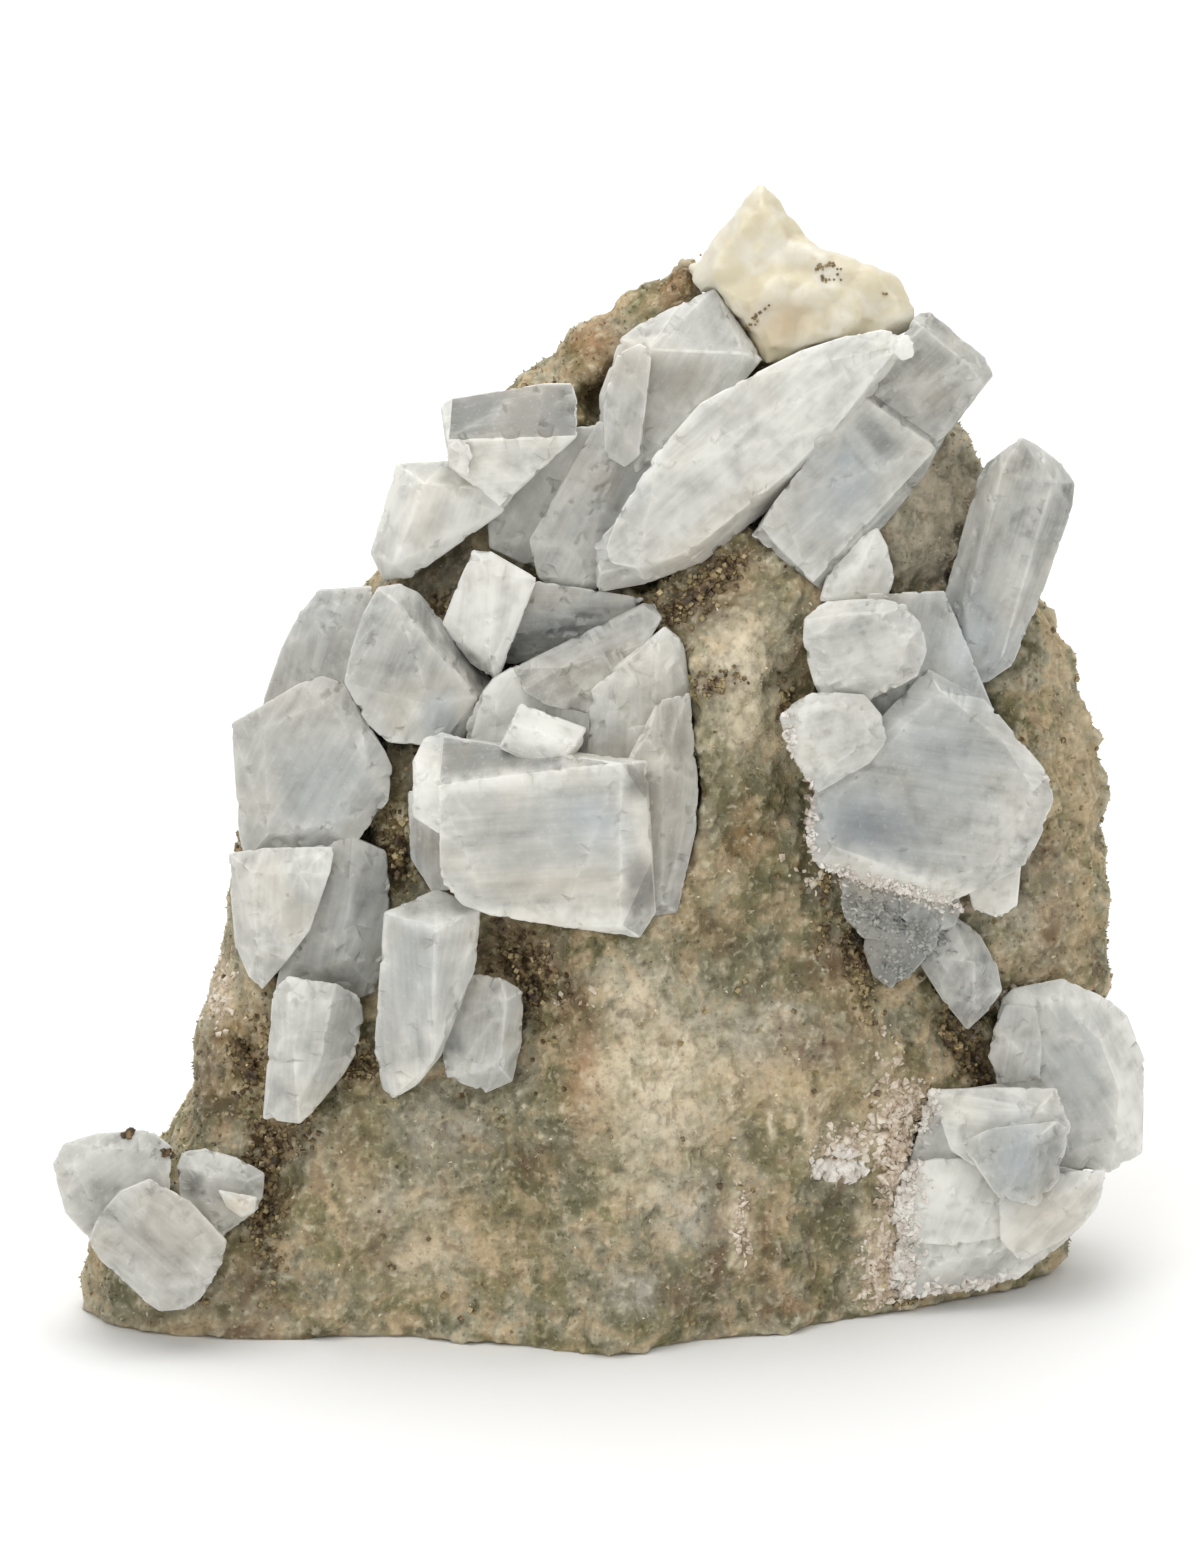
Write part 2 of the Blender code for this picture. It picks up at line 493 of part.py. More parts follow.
def rock_point(turn, height):
    """A point of the rock's skin, from a turn of 0 to 1 round the ring at a height."""
    left = profile(LEFT_EDGE, height)
    right = profile(RIGHT_EDGE, height)
    middle = min(max(profile(CREST_LINE, height), left + 1.0), right - 1.0)
    angle = turn * 2.0 * math.pi
    across = math.cos(angle)
    along = math.sin(angle)
    is_left = across < 0.0
    is_front = along < 0.0
    side_y = profile(LEFT_SIDE_DEPTH if is_left else RIGHT_SIDE_DEPTH, height)
    far_y = profile(FRONT_DEPTH if is_front else BACK_DEPTH, height)
    squareness = BACK_SQUARENESS
    if is_front:
        squareness = profile(LEFT_SQUARENESS, height) if is_left else RIGHT_SQUARENESS
    x = middle + ((left if is_left else right) - middle) * abs(across) ** (2.0 / squareness)
    y = side_y + (far_y - side_y) * abs(along) ** (2.0 / squareness)
    facing = abs(along) ** FACING_POWER
    if is_front:
        y -= relief(x, height) * facing
    rough = sum(noise.noise(Vector((x, y, height)) / length) * (front if is_front else back)
                for length, front, back in ROCK_GRAIN)
    outward = Vector((across * SIDEWAYS, along, 0.0))
    return Vector((x, y, height)) + outward * rough * (SIDE_GRAIN + (1.0 - SIDE_GRAIN) * facing)


def flattened(point):
    """Moves a point onto the fracture faces that it stands out of."""
    moved = point.copy()
    for place, direction in FRACTURE_FACES:
        outward = Vector(direction).normalized()
        out = (moved - Vector(place)).dot(outward)
        if out > 0.0:
            moved -= outward * out * FLATTENING
    moved.z = point.z
    return moved


def matrix_rock():
    """The rock: rings extruded upwards from a flat base, and closed at the top."""
    bm = bmesh.new()
    turns = bm.verts.layers.float.new("turn")
    ring = bmesh.ops.create_circle(bm, segments=ROCK_SEGMENTS, radius=1.0)["verts"]
    for number, vert in enumerate(ring):
        vert[turns] = number / ROCK_SEGMENTS
    edges = list(bm.edges)
    bottom = list(edges)
    heights = [ROCK_TOP * step / (ROCK_RINGS - 1) for step in range(ROCK_RINGS)]
    for height in heights:
        if height > 0.0:
            grown = bmesh.ops.extrude_edge_only(bm, edges=edges)["geom"]
            ring = [item for item in grown if isinstance(item, bmesh.types.BMVert)]
            edges = [item for item in grown if isinstance(item, bmesh.types.BMEdge)]
        for vert in ring:
            vert.co = flattened(rock_point(vert[turns], height))
    bmesh.ops.contextual_create(bm, geom=bottom)
    top = bmesh.ops.contextual_create(bm, geom=edges)["faces"]
    crown = bmesh.ops.poke(bm, faces=top)["verts"]
    for vert in crown:
        vert.co.z += CROWN_RISE
    bmesh.ops.triangulate(bm, faces=bm.faces)
    bmesh.ops.recalc_face_normals(bm, faces=bm.faces)
    return bm


def pyrite_grains(line, edge, rock_tree, rng):
    """Cubes of pyrite along a line on the rock, each overlapping the next, as convex solids."""
    runs = [math.dist(start, end) for start, end in zip(line, line[1:])]
    stations = [0.0] + [float(length) for length in np.cumsum(runs)]
    count = math.ceil(stations[-1] / (PYRITE_STEP * edge)) + 1
    grains = []
    for along in np.linspace(0.0, stations[-1], count):
        x = float(np.interp(along, stations, [point[0] for point in line]))
        h = float(np.interp(along, stations, [point[1] for point in line]))
        near_point = seen(x, h, NEAR_DEPTH)
        ray = (seen(x, h, FAR_DEPTH) - near_point).normalized()
        place, outward, _, _ = rock_tree.ray_cast(near_point, ray)
        size = edge * rng.uniform(*PYRITE_SIZES)
        turn = Euler([rng.uniform(0.0, math.pi / 2) for _ in range(3)]).to_matrix().to_4x4()
        cube = bmesh.new()
        bmesh.ops.create_cube(cube, size=size, matrix=Matrix.Translation(place) @ turn)
        grains.append(cube)
    return grains


def united(solids):
    """Joins overlapping solids into one."""
    return boolean(solids[0], solids[1:], "UNION")


def finished(bm, name, finish):
    """Makes the node's object, with its origin at its middle and a material of its own."""
    low, high = box_of(bm)
    middle = Vector((low + high) / 2.0)
    bmesh.ops.translate(bm, vec=-middle, verts=bm.verts)
    thing = make_object(bm, name)
    thing.location = middle * MM
    thing.parent = bpy.data.objects["specimen"]
    material = bpy.data.materials.new(name)
    material.use_nodes = True
    shader = material.node_tree.nodes["Principled BSDF"]
    shader.inputs["Base Color"].default_value = (*finish.colour, 1.0)
    shader.inputs["Roughness"].default_value = finish.roughness
    shader.inputs["Metallic"].default_value = finish.metallic
    thing.data.materials.append(material)
    bm.free()
    return thing


def build():
    """Builds every piece, the crystals first, so that what they grow on is cut clear of them."""
    clear_scene()
    bpy.context.scene.collection.objects.link(bpy.data.objects.new("specimen", None))
    taken = []
    for cluster in CRYSTAL_CLUSTERS:
        parts = [hull(crystal_points(crystal)) for crystal in cluster.crystals]
        solid = cut_clear(united(parts), taken)
        taken += [widened(part) for part in parts]
        finished(solid, cluster.name, BARITE_FINISH)
    lumps = [hull(crystal_points(lump)) for lump in CALCITE_CREST.crystals]
    finished(cut_clear(united(lumps), taken), CALCITE_CREST.name, CALCITE_FINISH)
    taken += [widened(lump) for lump in lumps]
    rock = matrix_rock()
    rock_tree = BVHTree.FromBMesh(rock)
    rng = random.Random(PYRITE_SEED)
    for name, line, edge in PYRITE_SEAMS:
        grains = pyrite_grains(line, edge, rock_tree, rng)
        finished(cut_clear(united(grains), taken), name, PYRITE_FINISH)
        taken += [widened(grain) for grain in grains]
    finished(cut_clear(rock, taken), "matrix_rock", ROCK_FINISH)


build()
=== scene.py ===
"""Looks of a hand specimen: barite crystals with pyrite, on a greenish rock with a calcite crest.

Places on the specimen are given as its front view shows them: x to the right and h up from the
lowest point of the outline, both in mm in the plane of the specimen. Meshes are shaped in mm and
brought to metres when they are finished.
"""
from __future__ import annotations

import logging
import math
from dataclasses import dataclass, field
from enum import Enum
from typing import Union

import bmesh
import bpy
import numpy as np
from bmesh.types import BMEdge, BMesh, BMFace, BMVert
from bpy.types import Material, Mesh, Node, NodeSocket, Object
from mathutils import Euler, Matrix, Vector, noise
from mathutils.bvhtree import BVHTree
from mathutils.geometry import delaunay_2d_cdt


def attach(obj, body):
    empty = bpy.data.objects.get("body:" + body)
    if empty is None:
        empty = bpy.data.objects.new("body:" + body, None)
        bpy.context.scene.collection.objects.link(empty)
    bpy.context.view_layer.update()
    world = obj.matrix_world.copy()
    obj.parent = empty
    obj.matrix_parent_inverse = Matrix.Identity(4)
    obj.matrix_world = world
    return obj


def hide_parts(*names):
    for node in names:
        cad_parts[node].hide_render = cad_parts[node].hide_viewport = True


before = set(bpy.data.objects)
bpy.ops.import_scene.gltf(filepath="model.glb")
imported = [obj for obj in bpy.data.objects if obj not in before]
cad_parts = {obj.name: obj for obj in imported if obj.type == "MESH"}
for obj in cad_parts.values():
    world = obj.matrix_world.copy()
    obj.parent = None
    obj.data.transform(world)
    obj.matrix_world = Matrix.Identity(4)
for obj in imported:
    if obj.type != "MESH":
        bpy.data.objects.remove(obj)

LOG = logging.getLogger("specimen")
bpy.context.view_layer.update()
MM = 0.001

# Name of the map that follows the growth lines of the crystals
LINES = "growth_lines"

# Crystals: how much smaller the back is, the lowest point, what counts as flat and as an edge
BACK_SHARE = 0.78
CRYSTAL_FLOOR = 1.2
FLAT = math.radians(1.2)
SHARP = math.radians(27.0)

# Distances in mm under which points are one: in a solid of the frame, and among united crystals
MERGED = 0.001
MERGED_CRYSTALS = 0.01

# Small triangles of a face, as shares of their side: from row to row, how far a point strays and
# how far the points keep from the rim
ROW_GAP = 0.87
STRAY = 0.12
RIM_GAP = 0.55

# The least cosine to the front view with which a crystal's face is divided finely
FINE_FACING = -0.15

# How far the edges of the rock's patches wander, in mm
ROCK_WARP = 1.2

Array = np.ndarray
Place = tuple[float, float, float]


class Form(Enum):
    """Shapes of the small crystals that are scattered over a piece."""

    POINT = "point"
    CUBE = "cube"
    CRUMB = "crumb"


class Tint(Enum):
    """What a patch does to the surface where it lies."""

    GREEN = "green"
    CREAM = "cream"
    TAN = "tan"
    BROWN = "brown"
    RUST = "rust"
    # Painted shade, in crevices, between crystals and under the ragged foot
    PAINTED_SHADE = "shade"
    GREY = "grey"
    WHITE = "white"
    CLEAR = "clear"
    BLUE = "blue"
    WARM = "warm"
    FROST = "frost"


@dataclass(frozen=True)
class FrontView:
    """The front view in which places are given, as a camera sees it.

    Attributes:
        tilt: How far the view looks down, in radians.
        distance: Distance from the eye to the aim point, in mm.
        aim_height: Height of the aim point above the base, in mm.
        foot_below_aim: How far below the aim line h is 0, in mm.
        picture_height: Height of the whole picture in the plane of the specimen, in mm.
    """

    tilt: float = math.radians(15.0)
    distance: float = 700.0
    aim_height: float = 41.5
    foot_below_aim: float = 47.2
    picture_height: float = 124.08

    @property
    def ahead(self) -> Vector:
        """The direction in which the eye looks."""
        return Vector((0.0, math.cos(self.tilt), -math.sin(self.tilt)))

    @property
    def up(self) -> Vector:
        """The direction that is up in the picture."""
        return Vector((0.0, math.sin(self.tilt), math.cos(self.tilt)))

    @property
    def eye(self) -> Vector:
        """Where the eye is, in mm."""
        return Vector((0.0, 0.0, self.aim_height)) - self.ahead * self.distance

    def seen(self, places: Array) -> tuple[Array, Array]:
        """Gives x and h of places in mm.

        Args:
            places: One row of x, y and z for each place.

        Returns:
            Their x and their h in the front view.
        """
        offset = places - np.array(self.eye)
        depth = offset @ np.array(self.ahead)
        across = offset[:, 0] * self.distance / depth
        rise = offset @ np.array(self.up) * self.distance / depth
        return across, rise + self.foot_below_aim

    def place(self, x: float, h: float, depth: float) -> Vector:
        """Gives the point at a depth y that the view shows at x and h, all in mm."""
        eye, along = self.ray(x, h)
        return eye + along * ((depth - eye.y) / along.y)

    def ray(self, x: float, h: float) -> tuple[Vector, Vector]:
        """Gives the eye and the direction in which it sees x and h."""
        aim = Vector((x, 0.0, self.aim_height)) + self.up * (h - self.foot_below_aim)
        return self.eye, (aim - self.eye).normalized()


VIEW = FrontView()


@dataclass(frozen=True)
class Patch:
    """A soft-edged oval or box in the front view.

    Attributes:
        x: Middle, to the right, in mm.
        h: Middle, up from the foot, in mm.
        wide: Half width in mm.
        high: Half height in mm.
        strength: How much of the tint its middle has.
        turn: How far the oval is turned against the clock, in degrees.
        crisp: 1 for a soft oval, and more for a box with sharper edges.
    """

    x: float
    h: float
    wide: float
    high: float
    strength: float = 1.0
    turn: float = 0.0
    crisp: float = 1.0

    def weights(self, across: Array, rise: Array) -> Array:
        """Gives how much of the patch each place of the view has.

        Args:
            across: The places' x in mm.
            rise: Their h in mm.

        Returns:
            One weight for each place, from 0 to the patch's strength.
        """
        angle = math.radians(self.turn)
        right = across - self.x
        above = rise - self.h
        along = np.abs(right * math.cos(angle) + above * math.sin(angle)) / self.wide
        aside = np.abs(above * math.cos(angle) - right * math.sin(angle)) / self.high
        power = 2.0 * self.crisp
        return self.strength * np.exp(-(along ** power + aside ** power))


def patches(*rows: tuple[float, ...]) -> list[Patch]:
    """Makes patches, each from its x, h, half width, half height, strength, turn and crispness."""
    return [Patch(*row) for row in rows]


def rough(places: Array, length: float, shift: float = 0.0) -> Array:
    """Smooth random values from about -1 to 1, which change over a length.

    Args:
        places: One row for each place, in mm.
        length: Over how many mm the values change.
        shift: Where in the pattern to read, so that two layers differ.

    Returns:
        One value for each place.
    """
    scaled = places / length + shift
    return np.array([noise.noise(place) for place in scaled.tolist()])


def grains(places: Array, length: float, shift: float = 0.0) -> Array:
    """Rounded grains of one size.

    Args:
        places: One row for each place, in mm.
        length: Size of the grains, in mm.
        shift: Where in the pattern to read.

    Returns:
        One height for each place, from 0 in the joints to 1 on top of a grain.
    """
    scaled = places / length + shift
    nearest = np.array([noise.voronoi(place)[0][:2] for place in scaled.tolist()])
    return np.clip(nearest[:, 1] - nearest[:, 0], 0.0, 1.0)


def smooth_step(values: Array, low: float, high: float) -> Array:
    """Rises smoothly from 0 where values are low to 1 where they are high."""
    share = np.clip((values - low) / (high - low), 0.0, 1.0)
    return share * share * (3.0 - 2.0 * share)


def front_share(normals: Array, low: float, high: float) -> Array:
    """Gives 0 for what looks away from the front view and 1 for what looks to it, one row each."""
    return smooth_step(-normals @ np.array(VIEW.ahead), low, high)


def tint_weights(spots: list[Patch], places: Array, warp: float) -> Array:
    """Gives how much of a tint each place has.

    Args:
        spots: The patches of that tint.
        places: Places in mm.
        warp: How far the patches' edges wander, in mm.

    Returns:
        One weight from 0 to 1 for each place.
    """
    across, rise = VIEW.seen(places)
    across = across + warp * rough(places, 3.0, 11.0) + 0.4 * warp * rough(places, 0.9, 5.0)
    rise = rise + warp * rough(places, 3.0, 23.0) + 0.4 * warp * rough(places, 0.9, 31.0)
    weights = np.zeros(len(places))
    for spot in spots:
        weights = np.maximum(weights, spot.weights(across, rise))
    return weights


def read(items: bpy.types.bpy_prop_collection, name: str, width: int = 3) -> Array:
    """Reads a value of all points or faces of a mesh, one row each."""
    flat = np.empty(len(items) * width, np.float32)
    items.foreach_get(name, flat)
    return flat.reshape(-1, width).astype(float)


def placed(name: str, mesh: Mesh) -> Object:
    """Makes a mesh an object of the scene.

    Args:
        name: Name of both.
        mesh: The mesh.

    Returns:
        The object.
    """
    mesh.name = name
    thing = bpy.data.objects.new(name, mesh)
    bpy.context.scene.collection.objects.link(thing)
    return thing


class Skin:
    """A mesh in mm that is being shaped, with its points and normals as arrays.

    Attributes:
        mesh: The mesh, in mm.
    """

    def __init__(self, mesh: Mesh) -> None:
        """Starts from a mesh in mm."""
        self.mesh = mesh

    @classmethod
    def from_node(cls, node: str, voxel: float, smoothing: int) -> "Skin":
        """Makes an even, fine skin over a solid of the frame.

        Args:
            node: Name of the solid.
            voxel: Distance between the points of the new skin, in mm.
            smoothing: How many times the skin is smoothed.

        Returns:
            The skin.
        """
        bm = bmesh.new()
        bm.from_mesh(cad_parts[node].data)
        bmesh.ops.scale(bm, vec=(1.0 / MM,) * 3, verts=bm.verts)
        bmesh.ops.remove_doubles(bm, verts=bm.verts, dist=MERGED)
        coarse = bpy.data.meshes.new("guide")
        bm.to_mesh(coarse)
        bm.free()
        guide = placed("guide", coarse)
        remesh = guide.modifiers.new("skin", "REMESH")
        remesh.mode = "VOXEL"
        remesh.voxel_size = voxel
        evaluated = guide.evaluated_get(bpy.context.evaluated_depsgraph_get())
        mesh = bpy.data.meshes.new_from_object(evaluated)
        bpy.data.objects.remove(guide)
        bpy.data.meshes.remove(coarse)
        skin = cls(mesh)
        skin.places = skin.smoothed(smoothing)
        return skin

    @property
    def places(self) -> Array:
        """The points of the mesh, one row each."""
        return read(self.mesh.vertices, "co")

    @places.setter
    def places(self, rows: Array) -> None:
        """Moves the points to new places."""
        self.mesh.vertices.foreach_set("co", rows.astype(np.float32).ravel())
        self.mesh.update()

    @property
    def normals(self) -> Array:
        """The outward direction at each point, one row each."""
        return read(self.mesh.vertex_normals, "vector")

    def push(self, heights: Array) -> None:
        """Moves each point outwards by its height in mm."""
        self.places = self.places + self.normals * heights[:, None]

    def smoothed(self, rounds: int) -> Array:
        """Gives the places of the points once they are smoothed.

        Args:
            rounds: How many times each point moves halfway to the middle of its neighbours.

        Returns:
            The places, one row each.
        """
        edges = np.empty(len(self.mesh.edges) * 2, np.int32)
        self.mesh.edges.foreach_get("vertices", edges)
        first, second = edges.reshape(-1, 2).T
        count = np.bincount(edges, minlength=len(self.mesh.vertices))[:, None]
        rows = self.places
        for _ in range(rounds):
            total = np.zeros_like(rows)
            for axis in range(3):
                total[:, axis] += np.bincount(first, rows[second, axis], len(rows))
                total[:, axis] += np.bincount(second, rows[first, axis], len(rows))
            rows = 0.5 * rows + 0.5 * total / count
        return rows

    # Its values give the rock its painted shade in the hollows and painted highlight on the bumps.
    def edge_wear(self, rounds: int, full: float) -> Array:
        """Tells where the skin is an outer edge.

        Args:
            rounds: How far around each point is looked at.
            full: Height in mm over the smoothed skin that counts as a full edge.

        Returns:
            A value for each point: 1 on an outer edge, 0 on a flat face, -1 in an inner corner.
        """
        out = np.sum((self.places - self.smoothed(rounds)) * self.normals, axis=1)
        return np.clip(out / full, -1.0, 1.0)

    def refine_front(self, turned: float) -> None:
        """Cuts each face that looks to the front into four.

        Args:
            turned: How far a face may look away from the front, as the cosine of the angle.
        """
        bm = bmesh.new()
        bm.from_mesh(self.mesh)
        ahead = VIEW.ahead
        facing = [face for face in bm.faces if face.normal.dot(ahead) < -turned]
        edges = sorted({edge for face in facing for edge in face.edges}, key=lambda edge: edge.index)
        bmesh.ops.subdivide_edges(bm, edges=edges, cuts=1, use_grid_fill=True)
        bmesh.ops.triangulate(bm, faces=[face for face in bm.faces if len(face.verts) > 4])
        bm.to_mesh(self.mesh)
        bm.free()

    def write(self, name: str, values: Array) -> None:
        """Keeps a value for each point, which a material can read by name."""
        attribute = self.mesh.attributes.new(name, "FLOAT", "POINT")
        attribute.data.foreach_set("value", values.astype(np.float32))

    def finished(self, name: str) -> Object:
        """Brings the mesh to metres and makes its object, shaded smooth.

        Args:
            name: Name of the object.

        Returns:
            The object.
        """
        self.mesh.transform(Matrix.Scale(MM, 4))
        self.mesh.shade_smooth()
        return placed(name, self.mesh)


@dataclass(frozen=True)
class Crystal:
    """One flat-faced crystal of a cluster.

    Attributes:
        front: Depth of its front at its middle, in mm.
        thick: How far it reaches behind that, in mm.
        lean: How far its front falls back for each mm to the right and each mm up.
        lines: Direction of its growth lines in the front view, in degrees.
        tone: Its shade, from 0 for dark and clear to 1 for white; for crystals that lie in shade a low tone
            is painted shade.
        corners: x and h of its corners and how far back each is set, if it is, in mm.
    """

    front: float
    thick: float
    lean: tuple[float, float]
    lines: float
    tone: float
    corners: list[tuple[float, ...]]

    def solid(self, number: int, worn_width: float) -> BMesh:
        """Makes the crystal's solid, whose faces know their crystal and which of them are worn edges.

        Args:
            number: The crystal's number in its cluster.
            worn_width: Width in mm of the worn edges.

        Returns:
            The solid in mm.
        """
        bm = bmesh.new()
        home = bm.faces.layers.int.new("crystal")
        bevelled = bm.faces.layers.int.new("bevelled")
        middle_x, middle_h = np.mean([corner[:2] for corner in self.corners], axis=0)
        for share, behind in ((1.0, 0.0), (BACK_SHARE, self.thick)):
            for x, h, *set_back in self.corners:
                right = (x - middle_x) * share
                above = (h - middle_h) * share
                depth = self.front + self.lean[0] * right + self.lean[1] * above
                depth += behind or sum(set_back)
                corner = VIEW.place(middle_x + right, middle_h + above, depth)
                corner.z = max(corner.z, CRYSTAL_FLOOR)
                bm.verts.new(corner)
        bmesh.ops.convex_hull(bm, input=bm.verts)
        loose = [vert for vert in bm.verts if not vert.link_faces]
        bmesh.ops.delete(bm, geom=loose, context="VERTS")
        in_order(bm)
        bmesh.ops.dissolve_limit(bm, angle_limit=FLAT, verts=bm.verts, edges=bm.edges)
        bmesh.ops.recalc_face_normals(bm, faces=bm.faces)
        for face in bm.faces:
            face[home] = number
        sharp = [edge for edge in bm.edges if edge.calc_face_angle(0.0) > SHARP]
        made = bmesh.ops.bevel(bm, geom=sharp, offset=worn_width, affect="EDGES", segments=1,
                               profile=0.5, material=-1, clamp_overlap=True)["faces"]
        for face in made:
            face[home] = number
            face[bevelled] = 1
        return bm


def in_order(bm: BMesh) -> None:
    """Puts the points and faces of a mesh in one fixed order, so that every run is alike.

    Args:
        bm: The mesh.
    """
    verts = sorted(bm.verts, key=lambda vert: tuple(round(share, 5) for share in vert.co))
    place = {vert: number for number, vert in enumerate(verts)}
    bm.verts.sort(key=place.get)
    faces = sorted(bm.faces, key=lambda face: sorted(place[vert] for vert in face.verts))
    place = {face: number for number, face in enumerate(faces)}
    bm.faces.sort(key=place.get)
    for items in (bm.verts, bm.faces):
        items.index_update()
        items.ensure_lookup_table()


def united(solids: list[BMesh]) -> BMesh:
    """Joins overlapping solids into one, whose faces keep what they know.

    Args:
        solids: The solids, which are used up.

    Returns:
        The joined solid.
    """
    group = bpy.data.collections.new("grown_together")
    guides = []
    for solid in solids:
        mesh = bpy.data.meshes.new("guide")
        solid.to_mesh(mesh)
        solid.free()
        guides.append(placed("guide", mesh))
    for guide in guides[1:]:
        group.objects.link(guide)
    union = guides[0].modifiers.new("union", "BOOLEAN")
    union.operation = "UNION"
    union.solver = "EXACT"
    union.operand_type = "COLLECTION"
    union.collection = group
    evaluated = guides[0].evaluated_get(bpy.context.evaluated_depsgraph_get())
    mesh = bpy.data.meshes.new_from_object(evaluated)
    joined = bmesh.new()
    joined.from_mesh(mesh)
    for used in [guide.data for guide in guides] + [mesh]:
        bpy.data.meshes.remove(used)
    bpy.data.collections.remove(group)
    bmesh.ops.remove_doubles(joined, verts=joined.verts, dist=MERGED_CRYSTALS)
    bmesh.ops.dissolve_degenerate(joined, dist=MERGED_CRYSTALS, edges=joined.edges)
    in_order(joined)
    joined.normal_update()
    return joined


@dataclass(frozen=True)
class Facet:
    """One flat face of a cluster: its place and directions, its crystal and whether it is worn."""

    centre: Array
    outward: Array
    along: Array
    across: Array
    crystal: int
    bevelled: bool

    def flat(self, rows: Array) -> Array:
        """Gives places on the face as along and across, in mm from its middle."""
        return np.stack([(rows - self.centre) @ self.along, (rows - self.centre) @ self.across], 1)


def inside(points: Array, rim: Array) -> tuple[Array, Array]:
    """Tells which points of a plane lie in a polygon, and how far all are from its rim.

    Args:
        points: One row of two numbers for each point.
        rim: The polygon's corners in order.

    Returns:
        Which points are inside, and each point's distance to the rim.
    """
    tiny = 1e-12
    ahead = np.roll(rim, -1, axis=0)
    run = ahead - rim
    length = np.maximum(np.sum(run * run, axis=1), tiny)
    offset = points[:, None, :] - rim[None]
    share = np.clip(np.sum(offset * run, axis=2) / length, 0.0, 1.0)
    gap = offset - share[..., None] * run
    distance = np.sqrt(np.min(np.sum(gap * gap, axis=2), axis=1))
    above = rim[None, :, 1] > points[:, None, 1]
    crossed = above != (ahead[None, :, 1] > points[:, None, 1])
    drop = np.where(np.abs(run[:, 1]) > tiny, run[:, 1], tiny)
    meets = rim[:, 0] + (points[:, None, 1] - rim[:, 1]) * run[:, 0] / drop
    hits = np.sum(crossed & (points[:, None, 0] < meets), axis=1)
    return hits % 2 == 1, distance


